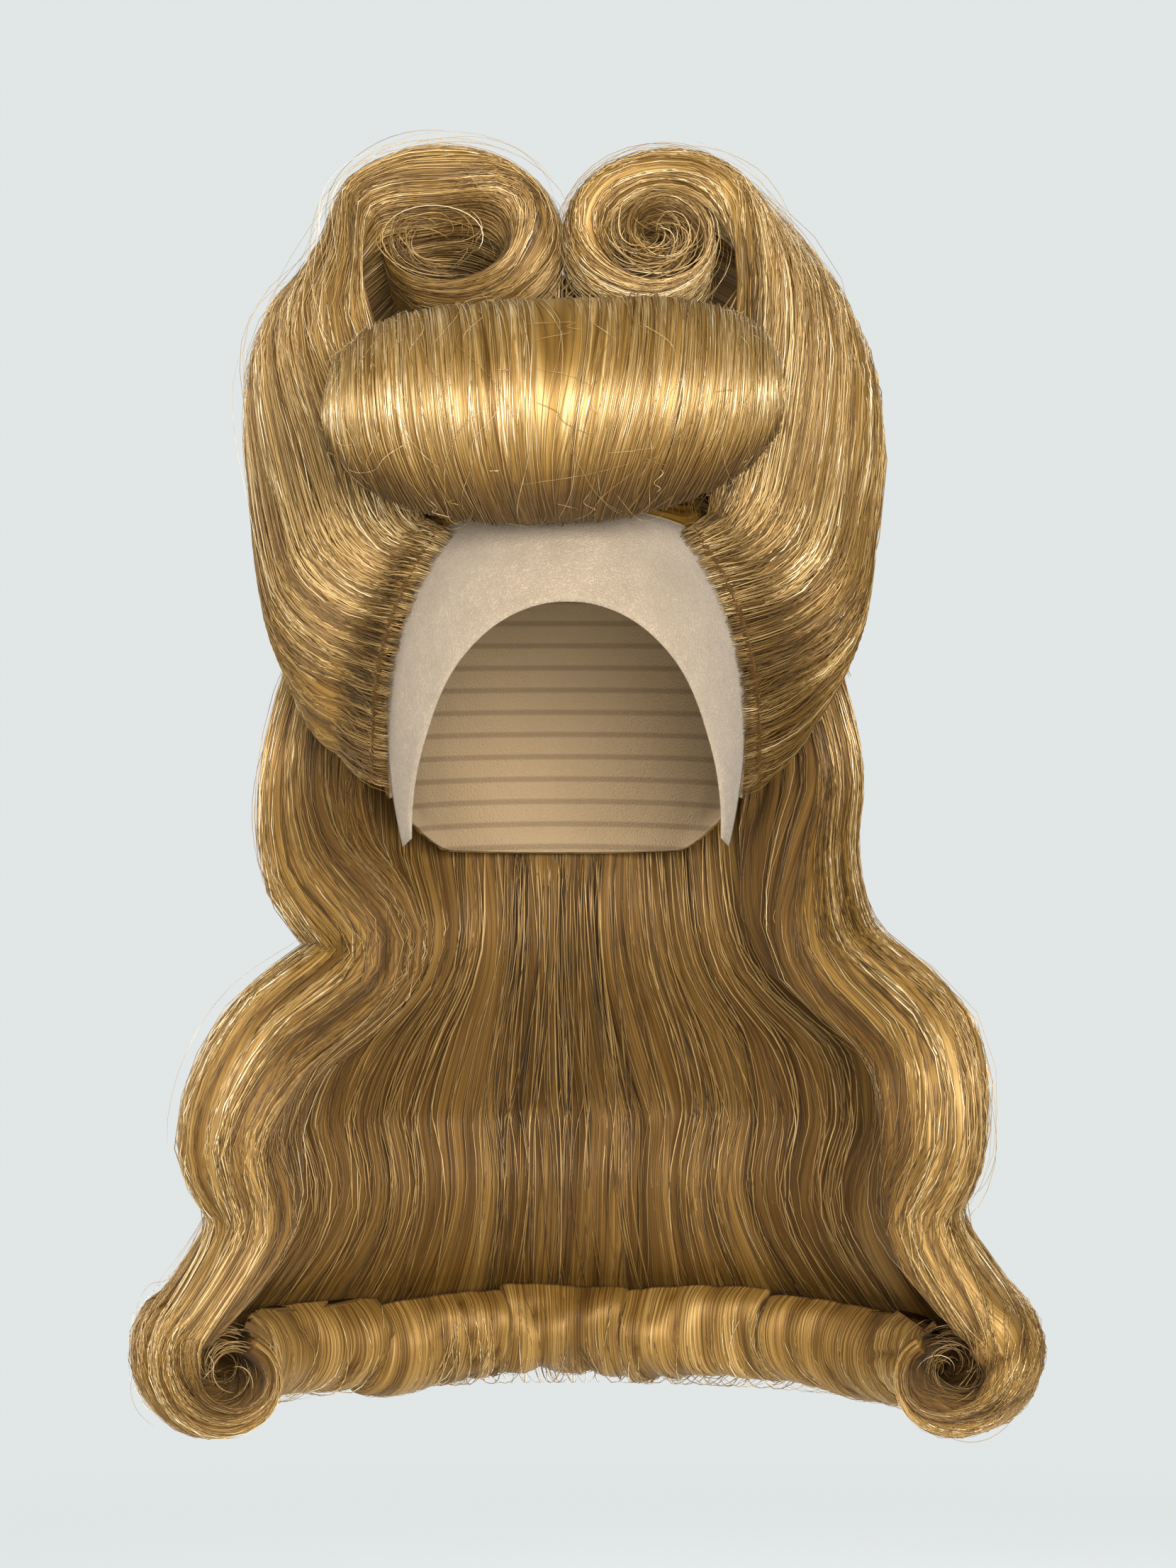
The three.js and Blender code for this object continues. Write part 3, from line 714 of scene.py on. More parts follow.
def sweepRail(roll, edge):
    column = 0 if edge == "front" else 3
    lastRow = len(sweepRows) - 1
    points = []
    for i, row in enumerate(sweepRows):
        out, back, up = row[column:column + 3]
        tucked = roll["tuck"] * float(smoothStep(lastRow - 3, lastRow, i)) if edge == "front" else 0.0
        points.append((roll["side"] * (out - tucked) * sweep["reach"], back * sweep["depth"],
                       up * (sweep["below"] if up < 0 else sweep["lift"])))
    out, up, wide, high = roll[edge]
    behind = -1.0 if edge == "front" else sweep["rear"]
    for turned in range(0, roll["turn"] + 1, sweep["step"]):
        share = turned / roll["turn"]
        left = 1 - (1 - roll["inner"]) * share ** roll["shrink"]
        setBack = 0.0
        if edge == "front":
            setBack = roll["recess"] * float(smoothStep(sweep["recessFrom"], 1, share))
        angle = math.radians(sweep["start"] - turned)
        points.append((roll["side"] * (out - wide * left * math.cos(angle)) * sweep["reach"],
                       (behind + setBack) * sweep["depth"],
                       (up + high * left * math.sin(angle)) * sweep["lift"]))
    return np.array(points)


sweepSection = oblongSection(sweep["square"], 0.055, 0.011)


def sweepPlacer(roll):
    front, rear = sweepRail(roll, "front"), sweepRail(roll, "back")
    last = len(front) - 1
    rootRows = len(sweepRows) - 1

    def place(along, across, lift):
        u = np.clip(along, 0, 1)
        f, r = alongCurve(front, u, False), alongCurve(rear, u, False)
        ahead, behind = np.clip(u + 0.002, 0, 1), np.clip(u - 0.002, 0, 1)
        df = unit(alongCurve(front, ahead, False) - alongCurve(front, behind, False))
        dr = unit(alongCurve(rear, ahead, False) - alongCurve(rear, behind, False))
        half = (r - f) / 2
        middle, width = f + half, np.linalg.norm(half, axis=-1)
        half = unit(half)
        normal = -roll["side"] * unit(np.cross(unit(df + dr), half))
        row = u * last
        turned = (row - rootRows - 1) * sweep["step"]
        plump = 1 + (sweep["plump"] - 1) * smoothStep(-sweep["step"], 2 * sweep["step"], turned)
        worn = smoothStep(roll["thinFrom"], roll["thinTo"], turned)
        rooted = smoothStep(-1.2, 1.6, row) * (0.07 + 0.93 * smoothStep(-0.1, 1.8, row))
        thick = sweep["thickness"] * rooted * (plump + (roll["wall"] - plump) * worn)
        bulge = sweep["crown"] * smoothStep(0, 2, row)
        bulge = bulge * (1 - smoothStep(rootRows - 1, rootRows + roll["crownTo"], row))
        slim = sweep["rearThin"] * smoothStep(rootRows - 1, rootRows + 1, row)
        a, o, na, no = readSection(sweepSection, across)
        out = o * thick / 2 * (1 - slim * (1 + a) / 2) + no * lift + bulge * (1 - a ** 2)
        points = middle + half * (a * width + na * lift)[..., None] + normal * out[..., None]
        return offHead(points, cover["clear"])

    return place


def sweepPaintedShade(across, along):
    # Painted shade: darker inside, deep in the spiral and at the roots
    inner = smoothStep(-0.1, 0.5, -np.sin(fullTurn * across))
    rim = smoothStep(0.7, 1.0, -np.cos(fullTurn * across))
    deep = smoothStep(0.5, 0.95, along) * (1 - 0.6 * rim)
    rooted = 0.2 * (1 - smoothStep(0.0, 0.12, along)) + 0.5 * (1 - smoothStep(0.004, 0.022, along))
    return 1.03 - 0.42 * inner * smoothStep(0.25, 0.5, along) - 0.3 * deep - rooted


def heartGuides(roll, count, seed, places=18):
    # Loose strands that go on turning inside a roll, smaller and deeper
    rng, t, even, _ = draws(seed, count, places)
    heart, side = roll["heart"], roll["side"]
    out, up, wide, high = roll["front"]
    first = math.radians(sweep["start"] - roll["turn"]) + even(-0.6, 2.2)
    angle = first - even(*heart["turns"]) * t
    start, stop = even(*heart["from"]), even(*heart["to"])
    left = start + (stop - start) * t ** 0.8 + 0.02 * np.sin(9 * t + 6 * even())
    drift = rng.normal(0, 0.035, (count, 2, 1))
    inwards = even(*heart["deep"]) + even(-0.12, 0.25) * t
    points = stacked(side * (out + drift[:, 0] * t - wide * left * np.cos(angle)) * sweep["reach"],
                     (-1 + inwards) * sweep["depth"],
                     (up + drift[:, 1] * t + high * left * np.sin(angle)) * sweep["lift"])
    lean = unit(stacked(-side * np.cos(angle), -0.5, np.sin(angle)))
    tone = even() ** 1.4
    flow = stacked(even(), 0.2 * t, tone)
    # Painted shade: strands deeper inside the roll are darker
    shade = (1.0 - 0.75 * inwards) * even(0.75, 1.15)
    return guideSet(points, lean, layAcross(points, lean), flow, even(0.0002, 0.0005), shade)


def rollSpread(rng, count):
    # More strands on the outside and on the front rim; those on the inside start where the roll opens
    outside, rim = int(count * 0.5), int(count * 0.25)
    spread = np.concatenate([rng.uniform(0.0, 0.5, outside), rng.uniform(0.38, 0.62, rim),
                             rng.uniform(0.5, 1.0, count - outside - rim)])
    starts = np.where(spread > 0.64, rng.uniform(0.22, 0.4, count), 0.06 * rng.random(count) ** 2)
    return spread, starts


rollStyle = {
    "clumps": 16, "split": 4, "depth": 0.0024, "fineDepth": 0.0005, "sway": 0.022, "crease": 0.5,
    "varied": 0.13, "swell": 0.003, "calm": 0.5, "tones": 1.0,
    "bends": ((1, 2.5, 1.0), (2, 4.0, 0.7), (4, 6.0, 0.35)), "swells": ((1, 6.0, 1.0), (2, 9.0, 0.7)),
    "round": sweepSection["round"] * 1.6, "thin": 0.0002, "wide": 0.0005, "stray": 0.003, "shade": sweepPaintedShade}


def makeRoll(roll):
    place, seed = sweepPlacer(roll), roll["seed"]
    style = clumpStyle({**rollStyle, "seed": seed, "length": roll["length"]})
    body = sweptBody(roll["name"] + "Body", place, style, sweep["rows"], sweep["round"])
    finishPiece(body, "hair", roll["node"])
    rng = np.random.default_rng(seed + 1)
    count = thinned(sweep["strands"])
    spread, starts = rollSpread(rng, count)
    makeStrands(roll["name"] + "Strands", surfaceGuides(
        place, style, starts, rng.uniform(0.84, 0.985, count), spread, seed + 2, sweep["places"]))
    makeStrands(roll["name"] + "Heart", heartGuides(roll, thinned(roll["heart"]["strands"]), seed + 3), 0.6)
    makeStrands(roll["name"] + "Flyaways", flyawayGuides(
        place, thinned(sweep["flyaways"]), ((0.1, 0.6), (0.1, 0.3)), (0.02, 0.5), 0.007, seed + 4), 1.0)
    return place


rollPlaces = [makeRoll(roll) for roll in rolls]
print("victory rolls made")


# Long waved hair with rolled ends
fall = {"drop": 0.354, "right": 0.139, "left": 0.157, "back": 0.124, "thickness": 0.028, "side": 1.55,
        "sideFrom": 60, "sideTo": 80, "centre": 0.015, "curl": 0.026, "curlStart": 65, "curlTurn": 300,
        "curlStep": 30, "curlInner": 0.55, "curlTip": 0.4, "count": 7, "square": 6.0, "top": 152,
        "bottom": 212,
        "wander": 3.6, "shingle": 0.0024, "slip": 0.014, "endVaried": 0.05, "endDrop": 0.002,
        "endTilt": 0.0015, "gap": -0.003, "rows": 110, "round": 48, "sideStrands": 200, "backStrands": 84,
        "places": 34, "flyaways": 24, "veil": 180, "curlStrands": 64}
fallRows = np.array([  # down, right, left, back, thick
    (-0.035, 0.24, 0.22, 0.36, 0.35), (0.03, 0.42, 0.38, 0.58, 0.7), (0.145, 0.6, 0.54, 0.81, 0.8),
    (0.26, 0.77, 0.69, 0.91, 0.9), (0.375, 0.85, 0.76, 0.92, 1.0), (0.485, 0.79, 0.69, 0.85, 1.0),
    (0.59, 0.6, 0.7, 0.82, 1.0), (0.69, 0.885, 0.96, 0.92, 1.0), (0.8, 1.0, 0.99, 1.06, 1.0),
    (0.9, 0.94, 0.95, 1.0, 0.9), (1.0, 1.11, 1.116, 1.12, 0.85)])
curlPoints = fall["curlTurn"] // fall["curlStep"]
fallShare = (len(fallRows) - 1) / (len(fallRows) - 1 + curlPoints)
fallSection = oblongSection(fall["square"], 0.026, 0.013)


def ellipseReach(row, turned):
    side = np.where(turned > 0, row[..., 2] * fall["left"], row[..., 1] * fall["right"])
    deep = row[..., 3] * fall["back"] - fall["centre"]
    return side * deep / np.hypot(deep * np.sin(turned), side * np.cos(turned))


def profileControl(index, turned, endSize=1.0):
    # Control points of the hair's middle in one upright plane: reach from the centre, and height
    index = np.asarray(index)
    row = fallRows[np.clip(index, 0, len(fallRows) - 1)]
    reach, z = ellipseReach(row, turned), -row[..., 0] * fall["drop"]
    curled = np.clip(index - (len(fallRows) - 1), 0, curlPoints) * fall["curlStep"]
    left = np.where(curled > 0, 1 - (1 - fall["curlInner"]) * curled / fall["curlTurn"], 1)
    first, angle = math.radians(fall["curlStart"]), np.radians(fall["curlStart"] - curled)
    size = fall["curl"] * endSize
    reach = reach + size * (left * np.cos(angle) - math.cos(first)) * (curled > 0)
    z = z + size * (left * np.sin(angle) - math.sin(first)) * (curled > 0)
    return np.stack([reach, z], axis=-1)


def profileAt(share, turned, endSize=1.0):
    total = len(fallRows) - 1 + curlPoints
    place = np.clip(share, 0, 1) * total
    i = np.minimum(place.astype(int), total - 1)
    p = [profileControl(np.clip(i + k, 0, total), turned, endSize) for k in (-1, 0, 1, 2)]
    return curvePoint(*p, place - i)


def seamWander(seam, fallen):
    # The seams between the locks wander; the two outer edges don't
    if seam in (0, fall["count"]):
        return 0 * fallen
    own = math.sin(2.4 * seam) * np.sin(2 * math.pi * (1.3 * fallen + 0.37 * seam))
    own = own + 0.7 * np.sin(2 * math.pi * (2.1 * fallen + 0.61 * seam))
    return np.radians(fall["wander"]) * own * smoothStep(0.05, 0.35, fallen)


def fallSpread(fallen):
    return fall["top"] + (fall["bottom"] - fall["top"]) * smoothStep(0.35, 0.75, fallen)


def fallThick(row, u):
    return fall["thickness"] * row[..., 4] * (1 - (1 - fall["curlTip"]) * smoothStep(fallShare, 1, u))


def fallRow(fallen):
    shares = np.linspace(0, 1, len(fallRows))
    return stacked(*(np.interp(fallen, shares, column) for column in fallRows.T))


def fallPoint(share, turned, out, span, endSize=1.0, lower=0.0):
    # A point at a distance from the middle of the hair, in a plane turned from straight back
    at = profileAt(share, turned, endSize)
    step = unit(profileAt(share + span, turned, endSize) - profileAt(share - span, turned, endSize))
    reach = at[..., 0] - step[..., 1] * out
    z = at[..., 1] + step[..., 0] * out + lower
    points = stacked(reach * np.sin(turned), fall["centre"] + reach * np.cos(turned), z)
    return offHead(points, cover["clear"])


def fallPlacer(index):
    offset = index - (fall["count"] - 1) / 2
    hidden = 0.0 if index in (0, fall["count"] - 1) else 1.0
    slip = fall["slip"] * hidden * math.sin(2.1 * index + 0.5)
    endSize = 1 - fall["endVaried"] * hidden * (0.5 + 0.5 * math.sin(2.7 * index))
    endDrop = fall["endDrop"] * math.sin(1.9 * index + 1)
    endTilt = fall["endTilt"] * math.cos(3.3 * index)
    lapSide = float(np.sign(offset))

    def place(along, across, lift):
        u = np.clip(along, 0, 1)
        fallen = np.minimum(1, u / fallShare)
        slot = np.radians(fallSpread(fallen) / fall["count"])
        low, high = seamWander(index, fallen), seamWander(index + 1, fallen)
        centre, slot = offset * slot + (low + high) / 2, slot + high - low
        a, o, na, no = readSection(fallSection, across)
        row = fallRow(fallen)
        beside = smoothStep(0.3, 0.55, fallen) * (1 - smoothStep(0.82, 1, fallen))
        sideways = smoothStep(fall["sideFrom"], fall["sideTo"], np.abs(np.degrees(centre)))
        thick = fallThick(row, u) * (1 + (fall["side"] - 1) * beside * sideways)
        width = np.maximum(ellipseReach(row, centre), 0.02)
        turned = centre + (slot / 2 - fall["gap"] / 2 / width) * a + na * lift / width
        lapped = fall["shingle"] * a * lapSide * smoothStep(0.02, 0.2, fallen)
        out = o * thick / 2 + no * lift + lapped * (1 - smoothStep(0.7, 1, fallen))
        lower = hidden * (endDrop + endTilt * a) * smoothStep(0.6, 1, fallen)
        slid = u + slip * np.sin(math.pi * fallen) ** 2
        return fallPoint(slid, turned, out, 0.018, endSize, lower)

    return place


def fallPaintedShade(across, along):
    # Painted shade: darker on the inner side and towards the rolled ends, most of all inside them
    inner = smoothStep(-0.2, 0.5, -np.sin(fullTurn * across))
    return 1.02 - 0.5 * inner - 0.36 * smoothStep(0.74, 1.0, along) * (0.3 + 0.7 * inner)


lockNodes = ["side_lock_right", "back_lock_right_outer", "back_lock_right_inner", "back_lock_middle",
             "back_lock_left_inner", "back_lock_left_outer", "side_lock_left"]
lockStyle = {
    "split": 4, "fineDepth": 0.0007, "crease": 0.6, "varied": 0.14, "swell": 0.002, "calm": 1.0, "tones": 1.0,
    "bends": ((1, 2.6, 1.0), (2, 3.6, 0.8), (3, 5.0, 0.4)), "swells": ((2, 4.0, 1.0), (3, 6.0, 0.7)),
    "round": fallSection["round"] * 3, "length": 0.52, "thin": 0.0002, "wide": 0.00052, "stray": 0.006,
    "shade": fallPaintedShade}
sideStyle = {"clumps": 13, "depth": 0.0056, "sway": 0.09}
backStyle = {"clumps": 10, "depth": 0.0030, "sway": 0.04}


def lockSpread(rng, count, index):
    # More strands on the outside, and on the front edge of the two side locks
    outside = rng.uniform(0.0, 0.5, count)
    inside = rng.uniform(0.5, 1.0, count)
    edge = (0.5 if index == 0 else 0.0) + rng.uniform(-0.16, 0.16, count)
    pick = rng.random(count)
    if index in (0, fall["count"] - 1):
        return np.where(pick < 0.35, outside, np.where(pick < 0.75, edge, inside))
    return np.where(pick < 0.7, outside, inside)


def makeLock(index):
    place, seed, name = fallPlacer(index), 41 + index * 7, "lock" + str(index + 1)
    beside = index in (0, fall["count"] - 1)
    style = clumpStyle({**lockStyle, **(sideStyle if beside else backStyle), "seed": seed})
    body = sweptBody(name + "Body", place, style, fall["rows"], fall["round"] * (2 if beside else 1))
    finishPiece(body, "hair", lockNodes[index])
    rng = np.random.default_rng(seed + 1)
    count = thinned(fall["sideStrands"] if beside else fall["backStrands"])
    makeStrands(name + "Strands", surfaceGuides(
        place, style, rng.uniform(0.0, 0.15, count), rng.uniform(0.8, 0.99, count),
        lockSpread(rng, count, index), seed + 2, fall["places"], warp=((0, 0), (0.6, 0.5), (1, 1))))
    makeStrands(name + "Flyaways", flyawayGuides(
        place, thinned(fall["flyaways"] * (2 if beside else 1)),
        ((0.1, 0.85 if beside else 0.5), (0.06, 0.24)), (0.0, 1.0), 0.007, seed + 3), 1.0)
    return place


def curlGuides(index, count, seed, places=20):
    # Ends that go on turning inside the rolled end of a side lock
    _, t, even, _ = draws(seed, count, places)
    side = -1.0 if index == 0 else 1.0
    turned = side * math.radians(fall["bottom"]) / 2 * even(0.80, 0.995) + side * even(-0.05, 0.05) * t
    row = fallRows[-1]
    reach = ellipseReach(row * np.ones((count, 1, 1)), turned)
    angle = math.radians(fall["curlStart"] - fall["curlTurn"]) + even(-0.4, 2.4) - even(1.0, 4.0) * t
    size = fall["curl"] * (even(0.35, 0.75) * (1 - t) + even(0.08, 0.4) * t)
    bend = math.radians(fall["curlStart"])
    out = reach - fall["curl"] * math.cos(bend) + size * np.cos(angle)
    z = -row[0] * fall["drop"] - fall["curl"] * math.sin(bend) + size * np.sin(angle)
    points = stacked(out * np.sin(turned), fall["centre"] + out * np.cos(turned), z)
    lean = unit(stacked(np.cos(angle) * np.sin(turned), np.cos(angle) * np.cos(turned), np.sin(angle)))
    # Strands inside the curl are painted darker as shade
    return freeGuides(points, lean, even(), even(0.0002, 0.0005), even(0.5, 0.95))


# Strands that cross the seams between the locks, on the whole fall's inner or outer side; the inner ones are
# painted darker as shade
veils = [{"name": "innerVeil", "face": -1.0, "ends": (0.42, 0.62), "shade": 0.62, "seed": 70},
         {"name": "outerVeil", "face": 1.0, "ends": (0.55, 0.97), "shade": 0.98, "seed": 72}]
veilLook = {"starts": (0.06, 0.3), "across": (0.17, 0.83), "wave": 0.012, "stray": 0.012, "slip": 0.010,
            "lift": (0.0004, 0.0032), "inset": 0.001, "slide": 0.02, "width": (0.00025, 0.0006)}


def veilPlacer(face):
    # across goes from the wearer's right to the left
    def place(along, across, lift):
        u = np.clip(along, 0, 1)
        fallen = np.minimum(1, u / fallShare)
        turned = np.radians(fallSpread(fallen)) * (across - 0.5)
        thick = fallThick(fallRow(fallen), u) - veilLook["inset"] * smoothStep(0.7, 0.8, u)
        return fallPoint(u, turned, face * (thick / 2 + lift), 0.003)

    return place


def veilGuides(veil, count, places=28):
    _, t, even, about = draws(veil["seed"], count, places)
    look = veilLook
    along = even(*look["starts"]) * (1 - t) + even(*veil["ends"]) * t
    across = even(*look["across"]) + look["wave"] * np.sin(fullTurn * (2.2 * along + even()))
    across = across + about(look["stray"]) * (t - 0.5)
    slid = along + look["slip"] * np.sin(40 * across) * np.sin(math.pi * np.minimum(1, along / fallShare))
    lift = even(*look["lift"]) * (0.4 + 0.6 * np.sin(math.pi * t)) * (1 - smoothStep(0.6, 0.8, along))
    points, lean, lay = frameOf(veilPlacer(veil["face"]), slid, across, lift)
    tone = even()
    flow = stacked(across * 0.5 + even() * look["slide"], along * 0.5, tone)
    return guideSet(points, lean, lay, flow, even(*look["width"]), veil["shade"] * even(0.8, 1.15))


lockPlaces = [makeLock(index) for index in range(fall["count"])]
for index in (0, fall["count"] - 1):
    makeStrands("curlHeart" + str(index + 1), curlGuides(index, thinned(fall["curlStrands"]), 81 + index))
for veil in veils:
    makeStrands(veil["name"], veilGuides(veil, thinned(fall["veil"])))
print("long hair made")


# The cap, the flat root hair and the lace front, all on the head's own form
shell = {"columns": 96, "rows": 32, "laceColumns": 96, "laceRows": 16, "weft": 0.0095, "ridge": 0.0005,
         "thinFrom": 0.86, "edge": 0.0004, "underRoots": 0.00035, "underHair": 0.0006, "lap": 0.0015}
hairAzimuth, hairHeight = edgeByAzimuth(hairline)
napeAzimuth, napeHeight = edgeByAzimuth(napeLine)
laceAzimuth, laceHeight = edgeByAzimuth(laceLine)


def coverEdge(azimuth):
    turn = np.abs(azimuth)
    front = np.interp(turn, hairAzimuth, hairHeight)
    back = np.interp(turn, napeAzimuth, napeHeight)
    return np.where(turn < hairAzimuth[-1], front, back)


def coverSheet(inner, outer, ridged=False, thinEdge=False):
    # A closed shell between two distances from the head, from the crown down to its edge
    rows, columns, rise = shell["rows"], shell["columns"], head["rise"]
    azimuth = (np.arange(columns) / columns * 2 - 1) * math.pi
    edge = coverEdge(azimuth)
    share = np.linspace(0.02, 1, rows)[:, None]
    tilt = np.arccos(np.clip((edge + rise) / headHigh(edge), -1, 1))[None, :] * share
    sheets = []
    for grow in (outer, inner):
        own = grow
        if thinEdge and grow == outer:
            full = 1 - smoothStep(shell["thinFrom"], 1, share)
            own = inner + shell["edge"] + (outer - inner - shell["edge"]) * full
        z = (np.where(np.cos(tilt) > 0, rise, head["drop"]) + own) * np.cos(tilt) - rise
        points = headPoint(azimuth[None, :], z, own)
        if ridged and grow == inner:
            ridge = np.maximum(0, np.sin(fullTurn * z / shell["weft"]) - 0.4) / 0.6
            points = points - headNormal(points) * (ridge * shell["ridge"])[..., None]
        sheets.append(points.reshape(-1, 3))
    size = rows * columns
    points = np.vstack(sheets + [sheet[:columns].mean(axis=0) for sheet in sheets])
    faces = gridFaces(rows, columns, True)
    faces += [[v + size for v in f[::-1]] for f in faces]
    last = (rows - 1) * columns
    for c in range(columns):
        n = (c + 1) % columns
        faces += [[last + c, last + n, size + last + n, size + last + c], [2 * size, n, c],
                  [2 * size + 1, size + c, size + n]]
    return points, turnedOut(faces, points)


def makeCap():
    points, faces = coverSheet(0.0, cover["cap"], ridged=True)
    finishPiece(addMesh("capNet", points, faces, {}, capMaterial), "cap", "cap")


def makeRoots():
    points, faces = coverSheet(cover["cap"] + shell["underRoots"], cover["roots"] - shell["underHair"],
                               thinEdge=True)
    away = points - headCentre
    down = np.linalg.norm(points, axis=1)
    flow = stacked(down, np.arctan2(away[:, 0], -away[:, 1]) * 0.08, 0.4)
    side = unit(away)
    upward = unit(np.array([0, 0, 1]) - side * side[:, 2:3])
    # The root hair is painted darker, as shade under the hair above it
    attributes = {"flow": flow, "lay": upward, "shade": 0.72 + 0 * down}
    finishPiece(addMesh("rootHair", points, faces, attributes, hairRoots), "hair", "root_hair")


# Fine hair that leaves the hairline, lies back over the roots and joins the sweep
combed = {"strands": 900, "reach": 0.024, "tries": 40, "tufts": 64, "tuftTone": 0.55, "tuftWide": 0.45,
          "across": (-0.02, 0.58), "joinUpTo": 0.05, "off": 0.0013, "onward": 0.35, "turn": 0.14,
          "tuftTurn": 0.16, "over": 0.026, "overMost": 0.09, "least": (3, 11), "kept": (0.6, 1.0),
          "joint": 0.36, "rise": (0.0008, 0.0026), "joinedRise": 0.08, "runs": (0.06, 0.22), "swerve": 0.007,
          "lift": (0.0003, 0.0014), "settled": (0.28, 0.42), "width": (0.00018, 0.0005)}


def hairlineGuides(roll, place, count, seed, places=12):
    rng, t, even, about = draws(seed, count, places)
    tufts = combed["tufts"]
    tuft = rng.integers(0, tufts, (count, 1))
    low, wide = combed["across"]
    across = low + wide * (tuft + rng.normal(0.5, combed["tuftWide"], (count, 1))) / tufts
    met, base = combed["joinUpTo"] * even() ** 1.5, 0 * across
    rooted = place(met, across, 0.0012 + base)
    root = place(base, across, combed["off"] + base)
    onward = unit(place(0.05 + base, across, combed["off"] + base) - root)
    line = unit(place(base, across - 0.01, base) - place(base, across + 0.01, base))
    onward = unit(combed["onward"] * onward + unit(np.cross(line, headNormal(root))) * -roll["side"])
    turn = rng.normal(0, combed["turn"], (count, 1, 3))
    turn = turn + rng.normal(0, combed["tuftTurn"], (tufts, 1, 3))[tuft[:, 0]]
    tried = root - unit(onward + turn) * np.linspace(0, combed["reach"], combed["tries"])[None, :, None]
    azimuth = np.arctan2(np.abs(tried[..., 0]) / head["breadth"], -tried[..., 1] / head["length"])
    over = np.minimum(rng.exponential(combed["over"], (count, 1)), combed["overMost"])
    inside = tried[..., 2] > coverEdge(azimuth + over) - 0.03 * over
    steps = rng.integers(*combed["least"], (count, 1))
    steps = np.maximum(steps, np.cumprod(inside, axis=1).sum(axis=1, keepdims=True) - 1)
    pick = np.arange(count)[:, None], (steps * even(*combed["kept"]) ** 0.5).astype(int)
    own = combed["tuftTone"] * rng.random((tufts, 1))[tuft[:, 0]] + (1 - combed["tuftTone"]) * even()
    start = headPoint(roll["side"] * azimuth[pick], tried[..., 2][pick], 0.0011)
    eased = np.minimum(1, t / combed["joint"])
    first = start + (rooted - start) * eased[..., None]
    lifted = np.sin(math.pi * eased ** 0.8) * (even(*combed["rise"]) + combed["joinedRise"] * met)
    first = first + headNormal(first) * lifted[..., None]
    along = met + even(*combed["runs"]) * np.maximum(0, t - 0.30) / 0.70
    course = across + about(combed["swerve"]) * np.sin(5 * t + 6 * even())
    second = frameOf(place, along, course, even(*combed["lift"]) + 0 * along)
    width = even(*combed["width"])
    # Random tone by tuft, with painted shade where the strands meet the sweep's root
    shade = (0.5 + 0.7 * own) * (0.92 - 0.2 * np.exp(-((t - 0.3) / 0.16) ** 2))
    mix = smoothStep(*combed["settled"], t)
    return settledGuides((first, headNormal(first)), second, mix, own, width, shade)


# Hair between the head and the hollow of a sweep, between two shares of the head's rise
temple = {"strands": 130, "top": 0.27, "low": 1.36, "share": (-0.12, 0.5), "behind": (0.05, 0.5),
          "climb": (0.02, 0.05), "across": (0.52, 0.7), "ahead": (0.02, 0.07), "width": (0.0004, 0.0009),
          "shade": (0.4, 0.75)}


def hairlinePlace(share):
    # A point of the hairline between the fringe and the ear, as azimuth and height
    rows = np.array(hairline)[::-1]
    low = temple["top"] + (temple["low"] - temple["top"]) * share
    y, z = np.interp(low, rows[:, 1], rows[:, 0]) * halfLength, -low * head["rise"]
    reach = np.sqrt(1 - ((z + head["rise"]) / headHigh(z)) ** 2)
    return np.arccos(np.clip(-y / (halfLength * reach), -1, 1)), z


def templeGuides(roll, place, count, seed, places=13):
    _, t, even, _ = draws(seed, count, places)
    azimuth, z = hairlinePlace(even(*temple["share"]))
    azimuth = azimuth + even(*temple["behind"]) + 0.15 * t
    z = z + even(*temple["climb"]) * t
    first = headPoint(roll["side"] * azimuth, z, cover["roots"] * (1 + 1.6 * t))
    across = even(*temple["across"]) + 0 * t
    along = 0.1 + even(*temple["ahead"]) * (0.5 + t)
    second = frameOf(place, along, across, -0.0002 + 0 * along)
    # Painted dark as shade in the sweep's hollow
    return settledGuides((first, headNormal(first)), second, smoothStep(0.15, 0.8, t), even() * 0.8,
                         even(*temple["width"]), even(*temple["shade"]))


# Hair that rises between the two rolls and parts to both
parting = {"strands": 100, "middle": -0.0015, "away": (0.0005, 0.014), "stray": (-0.0015, 0.003),
           "lean": 0.008, "y": (-0.04, 0.03), "sway": (-0.008, 0.008), "foot": 0.006, "top": (0.062, 0.076),
           "width": (0.0005, 0.0010), "shade": (0.5, 0.8)}


def partingGuides(count, seed, places=16):
    _, t, even, _ = draws(seed, count, places)
    side = np.where(even() < 0.5, -1.0, 1.0)
    away = even(*parting["away"]) * (1 - t) + even(*parting["stray"])
    away = away + parting["lean"] * smoothStep(0.85, 1, t)
    y = even(*parting["y"]) + even(*parting["sway"]) * t
    z = parting["foot"] + (even(*parting["top"]) - parting["foot"]) * t ** 0.9
    points = stacked(parting["middle"] + side * away, y, z)
    lean = unit(stacked(0.3 * side + 0 * t, -1, 0))
    # Painted darker as shade between the two rolls
    return freeGuides(points, lean, even() * 0.9, even(*parting["width"]), even(*parting["shade"]))


# Hair combed back from behind the fringe, over the crown and onto the long hair
crown = {"strands": 196, "across": (0.02, 0.48), "run": 0.15, "apart": 0.009, "stray": 0.002,
         "front": (-0.06, -0.035), "grow": (0.0, 0.0014), "width": (0.00025, 0.00055), "shade": (0.75, 1.0)}


